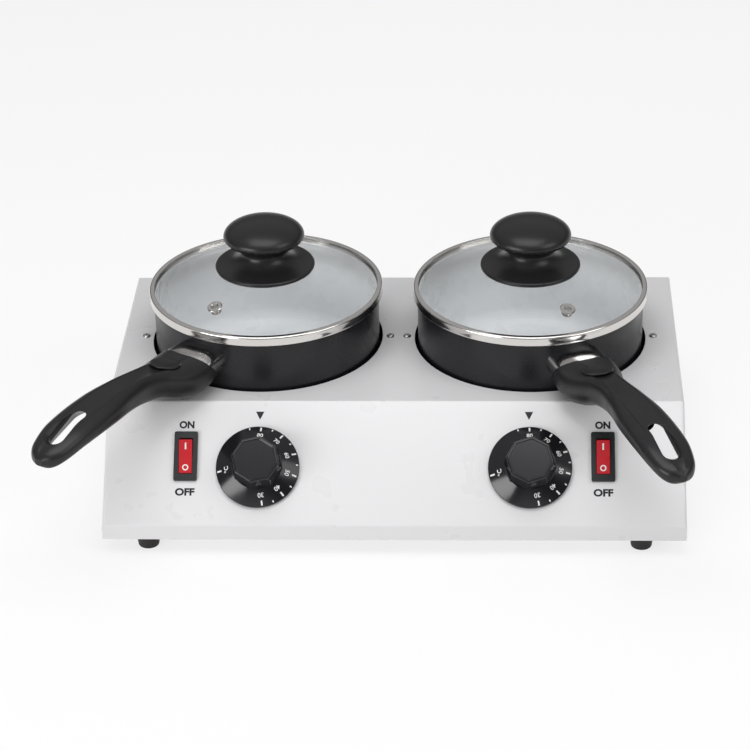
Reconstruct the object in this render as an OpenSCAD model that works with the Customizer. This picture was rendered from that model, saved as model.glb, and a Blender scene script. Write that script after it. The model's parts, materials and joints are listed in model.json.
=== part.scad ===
// Twin chocolate melting pot: a white sheet-steel body with two heated wells, two lidded saucepans,
// two dial thermostats and two lit rocker switches.
// The origin is in the middle of the base plate's underside; -Y is the front and +Z is up.

/* [Body] */
// Width of the body
body_w = 400; // [390:1:480]
// Depth of the body from the front lip to the rear wall
body_d = 256; // [252:1:320]
// Height of the metalwork, without the feet
body_h = 73; // [70:1:100]
// Depth of the sloping panel, seen from above
slope_run = 64; // [60:1:72]
// Height of the upright lip below the sloping panel
lip_h = 11; // [8:1:16]
// Thickness of the sheet steel
sheet_t = 1; // [0.8:0.1:1.5]
// Outer radius of the bent edges
edge_r = 2.5; // [2:0.25:4]
// Depth of the flanges that the base plate is screwed to
flange_w = 8; // [7:0.5:9]

/* [Feet] */
// Height of a rubber foot
foot_h = 12; // [10:1:20]
// Diameter of a foot where it meets the base
foot_top_d = 17.5; // [15:0.5:20]
// Diameter of a foot on the table
foot_bottom_d = 14.5; // [12:0.5:15]
// Distance of a foot's middle from the side wall
foot_inset_x = 30; // [24:1:50]
// Distance of a foot's middle from the front and rear walls
foot_inset_y = 13.5; // [13.5:0.5:40]

/* [Wells] */
// Distance between the middles of the two pots
pot_spacing = 189; // [188:1:194]
// Diameter of the opening in the top plate
hole_d = 166; // [165:0.5:170]
// Depth of a well below the top of the body
well_depth = 31; // [28:1:34]
// Thickness of the well's wall
well_t = 0.8; // [0.6:0.1:1.2]
// Width of the flange that hangs the well under the top plate
well_flange_w = 9.5; // [8.5:0.25:10]
// Inner radius between the well's wall and its floor
well_corner_r = 7; // [5:0.5:9]
// Distance of a well's fixing screws from its middle
well_screw_r = 88.5; // [88:0.25:89]

/* [Pots] */
// Outer diameter of a pot's wall
pot_d = 161; // [158:1:162]
// Height of a pot from its base to its rim
pot_h = 69; // [64:1:90]
// Thickness of a pot's wall
pot_wall_t = 1.6; // [1.2:0.1:2.5]
// Thickness of a pot's base
pot_base_t = 3; // [2:0.25:5]
// Outer radius between a pot's wall and its base
pot_corner_r = 13; // [9:1:18]
// Outer diameter of the rolled rim
pot_rim_d = 163.6; // [162:0.2:164]

/* [Handles] */
// Direction of the left handle seen from above
left_handle_angle = 238.4; // [225:0.1:250]
// Direction of the right handle seen from above
right_handle_angle = 292; // [285:0.1:300]
// Length of the chrome ferrule
ferrule_len = 19; // [16:0.5:21]
// Width of the ferrule where the grip starts
ferrule_w = 41; // [34:1:44]
// Height of the ferrule
ferrule_h = 20; // [17:1:22]
// Height of the ferrule's middle above the top of the body
ferrule_z = 20.5; // [19:0.5:22]
// Thickness of the ferrule's wall
ferrule_t = 0.8; // [0.6:0.1:1]
// Length of the moulded grip
grip_len = 156; // [150:1:160]
// Greatest width of the grip
grip_w = 41; // [34:1:44]
// Width of the hanging slot
slot_w = 11; // [9:0.5:12]
// Length of the hanging slot
slot_len = 34; // [24:1:36]
// Distance from the slot's middle to the tip of the grip
slot_from_tip = 30; // [28:1:34]
// Thread diameter of the handle's fixing bolt
bolt_d = 5; // [4:0.5:6]

/* [Lids] */
// Outer diameter of a lid's rim band
lid_d = 167; // [166:0.5:170]
// Thickness of the rim band's sheet
band_t = 0.5; // [0.4:0.05:0.6]
// Width of the band's lip over the glass
band_lip = 3.2; // [2.5:0.1:4]
// Thickness of the glass
glass_t = 3.5; // [3:0.1:4]
// Rise of the dome above the glass rim
dome_rise = 18; // [12:0.5:22]
// Diameter of the lid knob's flange
lid_knob_base_d = 71; // [66:1:76]
// Diameter of the lid knob's cap
lid_knob_cap_d = 57.6; // [52:0.5:62]
// Height of the lid knob above its flange's underside
lid_knob_h = 36.5; // [32:0.5:42]
// Distance of the steam eyelet from the lid's middle
eyelet_r = 60; // [52:1:64]
// Direction of the left lid's eyelet seen from above
left_eyelet_angle = 238; // [0:1:359]
// Direction of the right lid's eyelet seen from above
right_eyelet_angle = 295; // [0:1:359]

/* [Controls] */
// Distance of a switch's middle from the middle of the panel
switch_x = 143.5; // [141:0.5:150]
// Distance down the slope from the fold to a switch's middle
switch_down = 40; // [36:0.5:44]
// Width of a switch's bezel
bezel_w = 16.2; // [15:0.2:18]
// Length of a switch's bezel
bezel_len = 35; // [32:0.5:38]
// Width of the rocker
rocker_w = 9; // [8:0.2:10]
// Length of the rocker
rocker_len = 25; // [22:0.5:27]
// Distance of a dial's middle from the middle of the panel
dial_x = 93.5; // [88:0.5:98]
// Distance down the slope from the fold to a dial's middle
dial_down = 48; // [45:0.5:50]
// Diameter of a dial's skirt
dial_d = 57.6; // [52:0.2:60]
// Height of a dial above the panel
dial_h = 23.5; // [20:0.5:28]
// Diameter across the corners of the dial's eight-sided grip
dial_grip_d = 37; // [32:0.5:40]
// Diameter of the thermostat's spindle
spindle_d = 6; // [5:0.25:7]

/* [Inside] */
// Radius of the heating element's ring
ring_r = 50; // [46:1:52]
// Diameter of the heating element's tube
tube_d = 6.6; // [6:0.2:8]
// Diameter of the heat shield
shield_d = 152; // [144:1:153]
// Depth of the heat shield below the well's floor
shield_h = 22; // [20:0.5:24]
// Inner diameter of the cable gland
gland_bore_d = 7; // [6:0.5:8]
// Distance of the cable gland from the middle of the rear wall
gland_x = 150; // [140:1:160]

/* [Hidden] */
$fn = 72;

// General values
cut = 1;
fit = 0.05;
touch = 0.3;
left = -1;
right = 1;

// Places that the body's sizes give
top_z = body_h;
front_y = -body_d / 2;
back_y = body_d / 2;
fold_y = front_y + slope_run;
slope_rise = body_h - lip_h;
slope_tilt = atan2(slope_rise, slope_run);
slope_len = norm([slope_run, slope_rise]);
pot_x = pot_spacing / 2;
pot_y = (fold_y + back_y) / 2;
bend_steps = 8;
end_x = body_w / 2 - edge_r;

// Fasteners: thread radius, head radius and head height of each kind
screw_r = 1.75;
screw_head_r = 3.2;
screw_head_h = 2;
screw_len = 7;
head_round_share = 0.8;
hexagon = 6;
nut_r = 4;
nut_h = 3;
top_screw_r = 1.9;
top_screw_head_r = 2.8;
top_screw_head_h = 1.6;
stud_r = 3;
stud_nut_r = 5.8;
stud_nut_h = 4.5;

// Base
plate_t = 1;
plate_gap = 0.4;
floor_z = plate_t;
base_screw_share = 0.3;
base_screw_xs = [for (i = [-1:1]) i * body_w * base_screw_share];
base_screw_in = sheet_t + flange_w / 2 + plate_gap;
slot_count = 9;
slot_pitch = 9;
vent_w = 3.5;
vent_len = 36;
vent_spread = 0.7;
foot_screw_r = 2;
foot_screw_head_r = 3.6;
foot_screw_head_h = 2.4;
foot_sink = 5;
foot_nut_r = 4.2;
foot_nut_h = 3.2;
foot_edge_r = 1.2;

// Wells, with the stack of pieces under each well's floor
hole_r = hole_d / 2;
well_r = hole_r + touch;
well_top = top_z - sheet_t;
well_floor_z = top_z - well_depth;
under_z = well_floor_z - well_t;
tube_r = tube_d / 2;
clamp_t = 1.5;
clamp_gap = 0.1;
clamp_r = ring_r + tube_d;
clamp_top = under_z - tube_d - clamp_gap;
shield_r = shield_d / 2;
shield_t = 0.6;
shield_bottom = under_z - shield_h;
stud_proud = 1.6;
stud_len = shield_h + stud_nut_h + stud_proud;
head_w = 30;
head_l = 14;
head_h = 9;
pin_x = 9.5;
pin_r = 1.5;
pin_len = 24;
wool_gap = 1;
cutout_y = 34;
cutout_r = 8;
cutout_h = 9;
cutout_flange_w = 26;
notch_w = head_w + 2 * wool_gap;

// Thermostat, set in the panel's own frame
thermostat_w = 36;
thermostat_l = 30;
thermostat_deep = 20;
bracket_t = 1;
bracket_l = 16;
thermostat_screw_x = 14;
spindle_r = spindle_d / 2;
spindle_out = 13;
spindle_in = 12;
spindle_flat_share = 0.55;
blade_w = 6.3;
blade_t = 0.8;
blade_len = 8;
bulb_r = 3.1;
bulb_len = 52;
bulb_x = 8;
capillary_r = 0.8;
capillary_sides = 8;
capillary_dip = 38;
capillary_in = 29;
capillary_gap = 0.7;
capillary_drop = 11.5;

// Dial knob
dial_r = dial_d / 2;
dial_gap = 0.8;
dial_edge_h = 2.2;
dial_skirt_h = 8;
dial_bevel = 1.2;
dial_wall = 2.4;
dial_boss_r = 6;
dial_taper_share = 0.9;
octagon = 8;
left_dial_turn = 34.5;
right_dial_turn = 39.5;

// Rocker switch
bezel_h = 2;
bezel_corner_r = 1.2;
bezel_lip_x = 1.6;
bezel_lip_y = 2.5;
switch_body_w = bezel_w - 2 * bezel_lip_x;
switch_body_len = bezel_len - 2 * bezel_lip_y;
switch_body_h = 19;
pocket_gap = 0.25;
pocket_deep = 9;
pivot_deep = 3.5;
pivot_r = 1.2;
pivot_len = 1.3;
rocker_rest = 9;
rocker_crown = 1.4;
rocker_dip = 0.6;

// Rear wall and what is on it
gland_z = 22;
gland_r = 8;
gland_flange_r = 11;
gland_flange_h = 3;
gland_out = 14;
gland_in = 10;
gland_hex_r = 10.4;
gland_hex_h = 5;
block_w = 34;
block_l = 20;
block_h = 15;
block_wall = 2.5;
block_x = 96;
block_y = back_y - 42;
earth_x = 40;
earth_r = 2;
earth_h = 14;
louvre_count = 7;
louvre_pitch = 12;
louvre_x = 58;
louvre_w = 4;
louvre_h = 26;

// Pots
pot_r = pot_d / 2;
pot_rim_r = pot_rim_d / 2;
bead_r = 1.4;
pot_top = well_floor_z + pot_h;
flare_h = 7;
corner_steps = 8;

// Handles, in a frame whose X runs out along the grip from the pot's axis and whose Z is 0 at the
// body's top
grip_start = pot_r + ferrule_len;
grip_end = grip_start + grip_len;
tip_x = grip_end - slot_from_tip;
bracket_w = 12;
bracket_h = 12;
bracket_len = 8.5;
bracket_rise = 2.5;
bolt_r = bolt_d / 2;
bolt_head_r = 4;
bolt_head_h = 3;
bolt_tilt = 40;
bolt_reach = 4.8;
bolt_bite = 4;
bolt_drop = 12.1;
bolt_x = grip_start + bolt_reach;
bolt_z = ferrule_z - bolt_drop;
bolt_end_x = pot_r + bolt_bite;
bolt_len = (bolt_x - bolt_end_x) / cos(bolt_tilt);
bolt_far = bolt_len + touch;
pocket_r = bolt_head_r + 2 * touch;
boss_r = 6.3;
boss_len = 4.4;
pocket_len = 8;
boss_back = 6;
root_lean = 0.75;
root_share = 0.25;
ferrule_neck_share = 0.95;
ferrule_sides = 36;

// Outline of the grip: place along it, height of its top and of its underside, and width,
// as shares of the grip's length, the ferrule's height and the grip's width
grip_shares = [
    // along, top, underside, width, flat of the top
    [0.0000, 1.56, 0.44, 1.04, 0.985],
    [0.0540, 1.56, 0.26, 1.07, 0.985],
    [0.1060, 1.59, 0.20, 1.02, 0.975],
    [0.1570, 1.68, 0.37, 0.86, 0.95],
    [0.2244, 1.82, 0.68, 0.65, 0.90],
    [0.3186, 1.97, 0.86, 0.56, 0.88],
    [0.4340, 2.05, 1.02, 0.64, 0.88],
    [0.5910, 2.02, 1.09, 0.80, 0.90],
    [0.8110, 1.82, 1.04, 0.81, 0.95],
    [0.9260, 1.56, 0.88, 0.66, 0.97],
    [0.9740, 1.40, 0.84, 0.45, 0.98],
    [1.0000, 1.22, 0.98, 0.14, 0.98]];
grip_rings = 36;
arc_steps = 22;
flat_steps = 4;
roundness = 2.6;
pad_share = 0.122;
pad_r = 10.8;
pad_len_share = 1.05;
pad_deep = 6;
pad_lift = 0.8;
pad_dish = 1;
pad_edge_r = 0.8;
pad_tilt = 12;
slot_tilt = 21;
funnel_deep = 3;
funnel_w = 1.8;
slot_sides = 24;
root_top = grip_shares[0][1] * ferrule_h;
pad_sides = 40;
dish_share = 0.06;

// Lids
lid_r = lid_d / 2;
lid_gap = 0.1;
seat_z = pot_top + lid_gap;
band_skirt = 2;
band_bottom = seat_z - band_skirt;
glass_r = lid_r - 2 * band_t;
glass_z = seat_z + band_t + fit;
rim_flat = 4;
dome_r = glass_r - rim_flat;
dome_z = glass_z + glass_t;
sphere_r = (dome_r * dome_r + dome_rise * dome_rise) / (2 * dome_rise);
sphere_z = dome_z + dome_rise - sphere_r;
dome_steps = 20;
knob_r = lid_knob_base_d / 2;
cap_r = lid_knob_cap_d / 2;
knob_z = dome_height(knob_r);
lid_hole_r = 2.7;
lid_screw_r = 2.5;
washer_r = 9;
washer_t = 1;
lid_head_r = 4.6;
lid_head_h = 3;
lid_screw_in = 16;
eyelet_out = 5.4;
eyelet_in = 2.2;
eyelet_t = 0.5;
eyelet_flare = 1.6;
eyelet_lift = 0.15;
band_round = 0.8;
flange_edge_r = 1.5;
seat_steps = 6;
cap_start_share = 0.67;
cap_steps = 12;

// Outline of the lid knob from its flange up to its cap: distance out and height, as shares of the
// cap's radius and of the knob's height
neck_shares = [[0.97, 0.11], [0.78, 0.17], [0.66, 0.25], [0.60, 0.34], [0.61, 0.42], [0.70, 0.50],
               [0.84, 0.56], [0.94, 0.60], [0.965, 0.61], [0.975, 0.625], [1, 0.655], [1, 0.665]];

white = [0.93, 0.93, 0.94];
black = [0.12, 0.12, 0.13];
dark = [0.2, 0.2, 0.21];
steel = [0.75, 0.75, 0.77];
brass = [0.78, 0.66, 0.36];

// Height of the dome's outer face at a distance from the lid's middle
function dome_height(r) = sphere_z + sqrt(sphere_r * sphere_r - r * r);

// Points of a rounded corner between the angles from and to, about the point c
function arc(c, r, from, to, steps) =
    [for (i = [0:steps]) let (a = from + (to - from) * i / steps) c + r * [cos(a), sin(a)]];

// A quarter bend at each top corner of a width, as an outline in X and Z
function rounded_top(half_w, top, bottom, r) = concat(
    [[half_w, bottom]], arc([half_w - r, top - r], r, 0, 90, bend_steps),
    arc([r - half_w, top - r], r, 90, 180, bend_steps), [[-half_w, bottom]]);

// The body's side view in Y and Z, drawn inside its outer face by the distance inset
function side_view(inset) = let (
    r = edge_r - inset,
    half_tilt = slope_tilt / 2,
    fold = [fold_y + inset * tan(half_tilt), top_z - inset],
    fold_c = [fold_y + edge_r * tan(half_tilt), top_z - edge_r],
    lip_c = [front_y + edge_r, lip_h - edge_r * tan((90 - slope_tilt) / 2)])
    concat(
        [[back_y - inset, 0]],
        arc([back_y - edge_r, top_z - edge_r], r, 0, 90, bend_steps),
        arc(fold_c, r, 90, 90 + slope_tilt, bend_steps),
        arc(lip_c, r, 90 + slope_tilt, 180, bend_steps),
        [[front_y + inset, 0]]);

// Puts an outline drawn in Y and Z on its side and carries it along X
module along_x(from, to) translate([from, 0, 0])
    rotate([90, 0, 90]) linear_extrude(to - from) children();

// Places children on the sloping panel, with X along it, Y up it and Z out of it
module on_panel(x, down) translate([x, fold_y, top_z]) rotate([slope_tilt, 0, 0])
    translate([0, -down, 0]) children();

// Places children at the middle of a well, at the body's top
module at_well(side) translate([side * pot_x, pot_y, 0]) children();

// Places children in a handle's frame
module at_handle(side) translate([side * pot_x, pot_y, top_z])
    rotate(side == left ? left_handle_angle : right_handle_angle) children();

// A hexagon nut standing on 0
module nut(r, h, thread_r) difference() {
    cylinder(r = r, h = h, $fn = hexagon);
    translate([0, 0, -cut]) cylinder(r = thread_r + fit, h = h + 2 * cut);
}

// A screw with its head's underside at 0, pointing down
module screw(r, len, head_r, head_h) {
    translate([0, 0, -len]) cylinder(r = r, h = len);
    rotate_extrude() polygon(concat([[0, 0]], [[head_r, 0]],
        arc([head_r - head_h * head_round_share, 0], head_h * head_round_share, 0, 90, corner_steps), [[0, head_h]]));
}

// The full outside of the body, or the same drawn inside it by the distance inset
module body_block(inset) {
    half_w = body_w / 2 - inset;
    r = edge_r - inset;
    intersection() {
        along_x(-half_w, half_w) polygon(side_view(inset));
        translate([0, back_y + cut, 0]) rotate([90, 0, 0]) linear_extrude(body_d + 2 * cut)
            polygon(rounded_top(half_w, top_z - inset, -cut, r));
        on_panel(0, slope_len + body_h) rotate([90, 0, 180]) linear_extrude(2 * (slope_len + body_h) + body_d)
            polygon(rounded_top(half_w, -inset, -body_h - slope_len - body_d, r));
    }
}

module base_screw_places() for (x = base_screw_xs, end = [front_y, back_y])
    translate([x, end - sign(end) * base_screw_in, 0]) children();

module foot_places() for (x = [-1, 1], y = [-1, 1])
    translate([x * (body_w / 2 - foot_inset_x), y * (body_d / 2 - foot_inset_y), 0]) children();

module well_screw_places(side) for (end = [-1, 1])
    translate([side * pot_x + end * well_screw_r, pot_y, 0]) children();

// One sheet bent into lip, panel, top and rear wall, with a flange along both lower edges
module body_cover() color(white) difference() {
    union() {
        along_x(-end_x, end_x) difference() {
            polygon(side_view(0));
            polygon(concat([[back_y - sheet_t, -cut]], side_view(sheet_t), [[front_y + sheet_t, -cut]]));
        }
        for (end = [front_y, back_y]) along_x(-end_x + sheet_t, end_x - sheet_t)
            translate([end - sign(end) * (sheet_t + flange_w / 2), floor_z + sheet_t / 2])
                square([flange_w + fit, sheet_t], center = true);
    }
    for (side = [left, right]) {
        translate([side * pot_x, pot_y, well_top - cut]) cylinder(r = hole_r, h = sheet_t + 2 * cut);
        well_screw_places(side) translate([0, 0, well_top - cut])
            cylinder(r = top_screw_r + fit, h = sheet_t + 2 * cut);
        on_panel(side * dial_x, dial_down) {
            translate([0, 0, -sheet_t - cut]) cylinder(r = spindle_r + sheet_t, h = sheet_t + 2 * cut);
            for (x = [-1, 1]) translate([x * thermostat_screw_x, 0, -sheet_t - cut])
                cylinder(r = screw_r + fit, h = sheet_t + 2 * cut);
        }
        on_panel(side * switch_x, switch_down)
            cube([switch_body_w + 2 * fit, switch_body_len + 2 * fit, 4 * sheet_t], center = true);
    }
    base_screw_places() translate([0, 0, floor_z - cut]) cylinder(r = screw_r + fit, h = sheet_t + 2 * cut);
    translate([gland_x, back_y - sheet_t - cut, gland_z]) rotate([-90, 0, 0])
        cylinder(r = gland_r + fit, h = sheet_t + 2 * cut);
    for (side = [left, right], i = [0:louvre_count - 1])
        translate([side * louvre_x + (i - (louvre_count - 1) / 2) * louvre_pitch, back_y, gland_z + louvre_h / 2])
            cube([louvre_w, 4 * sheet_t, louvre_h], center = true);
}

// A flat end of the body with its edges bent over towards the cover
module end_panel(side) color(white) {
    intersection() {
        difference() {
            body_block(0);
            body_block(sheet_t);
            translate([-end_x, front_y + sheet_t, -cut])
                cube([2 * end_x, body_d - 2 * sheet_t, lip_h]);
        }
        translate([side > 0 ? end_x : -end_x - edge_r, front_y, 0]) cube([edge_r, body_d, body_h]);
    }
    translate([side * (body_w / 2 - sheet_t - (flange_w - fit) / 2), 0, floor_z + sheet_t / 2])
        cube([flange_w + fit, body_d - 4 * foot_inset_y, sheet_t], center = true);
}

// Vented sheet that closes the body from below
module base_plate() color(steel) difference() {
    plate_w = body_w - 2 * (sheet_t + plate_gap);
    plate_d = body_d - 2 * (sheet_t + plate_gap);
    translate([-plate_w / 2, -plate_d / 2, 0]) cube([plate_w, plate_d, plate_t]);
    base_screw_places() translate([0, 0, -cut]) cylinder(r = screw_r + fit, h = plate_t + 2 * cut);
    foot_places() translate([0, 0, -cut]) cylinder(r = foot_screw_r + fit, h = plate_t + 2 * cut);
    translate([earth_x, block_y, -cut]) cylinder(r = earth_r + fit, h = plate_t + 2 * cut);
    for (x = [-1, 1], y = [-1, 1], i = [0:slot_count - 1])
        translate([x * pot_x + (i - (slot_count - 1) / 2) * slot_pitch, pot_y / 2 + y * vent_len * vent_spread, 0])
            cube([vent_w, vent_len, 4 * plate_t], center = true);
}

module base_screws() color(steel) base_screw_places() mirror([0, 0, 1])
    screw(screw_r, screw_len, screw_head_r, screw_head_h);

// Rubber feet, sunk in the middle for the screw's head
module feet() color(black) foot_places() translate([0, 0, -foot_h]) rotate_extrude() polygon(concat(
    [[foot_screw_r + fit, foot_h], [foot_screw_r + fit, foot_sink], [foot_screw_head_r + touch, foot_sink],
     [foot_screw_head_r + touch, 0]],
    arc([foot_bottom_d / 2 - foot_edge_r, foot_edge_r], foot_edge_r, -90, 0, corner_steps),
    [[foot_top_d / 2, foot_h]]));

module foot_screws() color(steel) foot_places() translate([0, 0, foot_sink - foot_h]) mirror([0, 0, 1])
    screw(foot_screw_r, foot_h - foot_sink + plate_t + foot_nut_h + cut, foot_screw_head_r, foot_screw_head_h);

module foot_nuts() color(steel) foot_places() translate([0, 0, floor_z])
    nut(foot_nut_r, foot_nut_h, foot_screw_r);

// A drawn pan hung by its flange under the top plate, with a stud for the heater under its floor
module well(side) color(steel) at_well(side) difference() {
    union() {
        rotate_extrude() polygon(concat(
            [[0, well_floor_z]],
            arc([well_r - well_corner_r, well_floor_z + well_corner_r], well_corner_r, -90, 0, corner_steps),
            [[well_r, well_top], [hole_r + well_flange_w, well_top], [hole_r + well_flange_w, well_top - well_t],
             [well_r + well_t, well_top - well_t]],
            arc([well_r - well_corner_r, well_floor_z + well_corner_r], well_corner_r + well_t, 0, -90, corner_steps),
            [[0, under_z]]));
        translate([0, 0, under_z - stud_len]) cylinder(r = stud_r, h = stud_len + well_t / 2);
    }
    for (end = [-1, 1]) translate([end * well_screw_r, 0, well_top - well_t - cut])
        cylinder(r = top_screw_r + fit, h = well_t + 2 * cut);
}

module well_screws() color(steel) for (side = [left, right]) well_screw_places(side)
    translate([0, 0, top_z]) screw(top_screw_r, screw_len, top_screw_head_r, top_screw_head_h);

module well_nuts() color(steel) for (side = [left, right]) well_screw_places(side)
    translate([0, 0, well_top - well_t - nut_h]) nut(nut_r, nut_h, top_screw_r);

// Tube heater bent to a ring whose ends meet in a ceramic head with two long pins
module heating_element(side) color(dark) at_well(side) translate([0, 0, under_z - tube_r - clamp_gap / 2]) {
    gap = asin(head_w / 2 / ring_r) / 2;
    rotate(gap - 90) rotate_extrude(angle = 360 - 2 * gap) translate([ring_r, 0]) circle(r = tube_r);
    translate([-head_w / 2, -ring_r - head_l / 2, tube_r - head_h]) cube([head_w, head_l, head_h - touch]);
    for (x = [-1, 1]) translate([x * pin_x, -ring_r - head_l / 2 + cut, 0]) rotate([90, 0, 0])
        cylinder(r = pin_r, h = pin_len + cut);
}

// Pressed plate that holds the ring against the well, cut away where the leads come out
module clamp_plate(side) color(steel) at_well(side) translate([0, 0, clamp_top - clamp_t]) difference() {
    cylinder(r = clamp_r, h = clamp_t);
    translate([0, 0, -cut]) cylinder(r = stud_r + fit, h = clamp_t + 2 * cut);
    translate([-notch_w / 2, -clamp_r - cut, -cut])
        cube([notch_w, clamp_r - capillary_in + cut, clamp_t + 2 * cut]);
}

module clamp_nuts() color(steel) for (side = [left, right], z = [clamp_top - clamp_t, shield_bottom])
    at_well(side) translate([0, 0, z - stud_nut_h]) nut(stud_nut_r, stud_nut_h, stud_r);

// Mineral wool between the clamp plate and the shield, with a channel for the head and the capillary
module insulation(side) color([0.85, 0.8, 0.6]) at_well(side) translate([0, 0, shield_bottom + shield_t]) {
    wool_h = clamp_top - clamp_t - touch - shield_bottom - shield_t;
    difference() {
        cylinder(r = shield_r - shield_t - touch, h = wool_h);
        translate([0, 0, -cut]) cylinder(r = stud_nut_r + wool_gap, h = wool_h + 2 * cut);
        translate([-notch_w / 2, -shield_r, wool_h - capillary_drop + clamp_t])
            cube([notch_w, shield_r - capillary_in, capillary_drop]);
    }
}

// Shallow dish under the heater, open at the front for the pins and the capillary
module heat_shield(side) color(steel) at_well(side) difference() {
    rotate_extrude() polygon([
        [stud_r + fit, shield_bottom], [shield_r, shield_bottom], [shield_r, under_z],
        [shield_r - shield_t, under_z], [shield_r - shield_t, shield_bottom + shield_t],
        [stud_r + fit, shield_bottom + shield_t]]);
    translate([-notch_w / 2, -shield_r - cut, under_z - capillary_drop - 2 * wool_gap])
        cube([notch_w, shield_r / 2, capillary_drop + 2 * wool_gap + cut]);
}

// Disc cut-out under the shield, with a mounting flange and two blades
module thermal_cutout(side) color(dark) at_well(side) translate([0, cutout_y, shield_bottom]) mirror([0, 0, 1]) {
    translate([-cutout_flange_w / 2, -cutout_r, 0]) cube([cutout_flange_w, 2 * cutout_r, shield_t]);
    cylinder(r = cutout_r, h = cutout_h);
    translate([-cutout_r - blade_len, -blade_w / 2, cutout_h / 2])
        cube([2 * (cutout_r + blade_len), blade_w, blade_t]);
}

// Control block behind the panel, on its bracket, with blade terminals at its back
module thermostat(side) color(dark) on_panel(side * dial_x, dial_down) {
    difference() {
        union() {
            translate([-thermostat_w / 2, -bracket_l / 2, -sheet_t - bracket_t])
                cube([thermostat_w, bracket_l, bracket_t]);
            translate([-thermostat_w / 2 + screw_len, -thermostat_l / 2, -sheet_t - bracket_t - thermostat_deep - bracket_t])
                cube([thermostat_w - 2 * screw_len, thermostat_l, thermostat_deep + bracket_t]);
        }
        translate([0, 0, -sheet_t - spindle_in]) cylinder(r = spindle_r + fit, h = spindle_in + cut);
        for (x = [-1, 1]) translate([x * thermostat_screw_x, 0, -sheet_t - bracket_t - cut])
            cylinder(r = screw_r + fit, h = bracket_t + 2 * cut);
    }
    for (x = [-1, 1]) translate([x * blade_w - blade_w / 2, -thermostat_l / 4, -sheet_t - 2 * bracket_t - thermostat_deep - blade_len + fit])
        cube([blade_w, blade_t, blade_len]);
}

module thermostat_screws() color(steel) for (side = [left, right], x = [-1, 1])
    on_panel(side * dial_x, dial_down) translate([x * thermostat_screw_x, 0, 0])
        screw(screw_r, screw_len, screw_head_r, screw_head_h - dial_gap / 2);

// A sensing bulb beside the stud, with its capillary led out under the ring to the control block
module thermostat_bulb(side) color(brass) translate([side * pot_x + bulb_x, 0, 0]) {
    bulb_z = under_z - bulb_r - clamp_gap / 2;
    translate([0, pot_y, bulb_z]) rotate([90, 0, 0]) cylinder(r = bulb_r, h = bulb_len, center = true);
    deep = sheet_t + 2 * bracket_t + thermostat_deep;
    tube_along_y([
        [pot_y - bulb_len / 2 + cut, bulb_z],
        [pot_y - (bulb_len / 2 + capillary_dip) / 2, bulb_z],
        [pot_y - capillary_dip, under_z - capillary_drop],
        [pot_y - shield_r - cut, under_z - capillary_drop],
        [fold_y - dial_down * cos(slope_tilt) + deep * sin(slope_tilt) + capillary_gap,
         top_z - dial_down * sin(slope_tilt) - deep * cos(slope_tilt)]]);
}

// A thin tube swept through points given in Y and Z, rounded off between them
module tube_along_y(points) {
    last = len(points) - 1;
    bends = [for (i = [0:last]) i == 0 || i == last ? [points[i]] :
        [for (t = [0:bend_steps]) let (s = t / bend_steps, before = (points[i - 1] + points[i]) / 2,
            after = (points[i] + points[i + 1]) / 2)
            (1 - s) * (1 - s) * before + 2 * s * (1 - s) * points[i] + s * s * after]];
    path = [for (b = bends) each b];
    route = [for (i = [0:len(path) - 1]) if (i == 0 || norm(path[i] - path[i - 1]) > fit) path[i]];
    count = len(route);
    rings = [for (i = [0:count - 1]) let (
        step = route[min(i + 1, count - 1)] - route[max(i - 1, 0)],
        across = [-step[1], step[0]] / norm(step))
        each [for (k = [0:capillary_sides - 1]) let (a = 360 * k / capillary_sides)
            [capillary_r * cos(a), route[i][0] + capillary_r * sin(a) * across[0],
             route[i][1] + capillary_r * sin(a) * across[1]]]];
    loft(rings, count - 1, capillary_sides);
}

// Closes a stack of equal rings of points into a solid
module loft(points, steps, size) polyhedron(points = points, faces = concat(
    [for (k = [0:steps - 1], i = [0:size - 1]) let (a = k * size + i, b = k * size + (i + 1) % size)
        each [[a, b, a + size], [b, b + size, a + size]]],
    [[for (i = [size - 1:-1:0]) i], [for (i = [0:size - 1]) steps * size + i]]));

// Spindle with a flat along its outer end
module thermostat_spindle(side) color(brass) on_panel(side * dial_x, dial_down) difference() {
    translate([0, 0, -sheet_t - spindle_in + touch]) cylinder(r = spindle_r, h = spindle_out + sheet_t + spindle_in - touch);
    translate([-spindle_r, spindle_r * spindle_flat_share, dial_gap - touch]) cube([spindle_d, spindle_r, spindle_out]);
}

// Dial with a conical skirt and an eight-sided grip, hollow from below with a boss for the spindle
module dial_knob(side) color(black) on_panel(side * dial_x, dial_down) translate([0, 0, dial_gap]) {
    grip_r = dial_grip_d / 2;
    top_r = grip_r * dial_taper_share;
    height = dial_h - dial_gap;
    difference() {
        union() {
            cylinder(r = dial_r, h = dial_edge_h);
            translate([0, 0, dial_edge_h]) cylinder(r1 = dial_r, r2 = grip_r, h = dial_skirt_h - dial_edge_h);
            rotate(side == left ? left_dial_turn : right_dial_turn) hull() {
                translate([0, 0, dial_edge_h]) cylinder(r = grip_r, h = dial_edge_h, $fn = octagon);
                translate([0, 0, height - dial_bevel]) cylinder(r = top_r, h = fit, $fn = octagon);
                cylinder(r = top_r - dial_bevel, h = height, $fn = octagon);
            }
        }
        translate([0, 0, -cut]) cylinder(r = dial_r - dial_wall, h = dial_edge_h + cut);
        translate([0, 0, -cut]) cylinder(r = top_r - 2 * dial_wall, h = height - 2 * dial_wall + cut);
    }
    difference() {
        cylinder(r = dial_boss_r, h = height - dial_wall);
        translate([0, 0, -cut]) intersection() {
            cylinder(r = spindle_r + fit, h = spindle_out + cut);
            translate([-spindle_d, -spindle_d, 0]) cube([2 * spindle_d, spindle_d + spindle_r * spindle_flat_share + fit, spindle_out + cut]);
        }
    }
}

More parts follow.
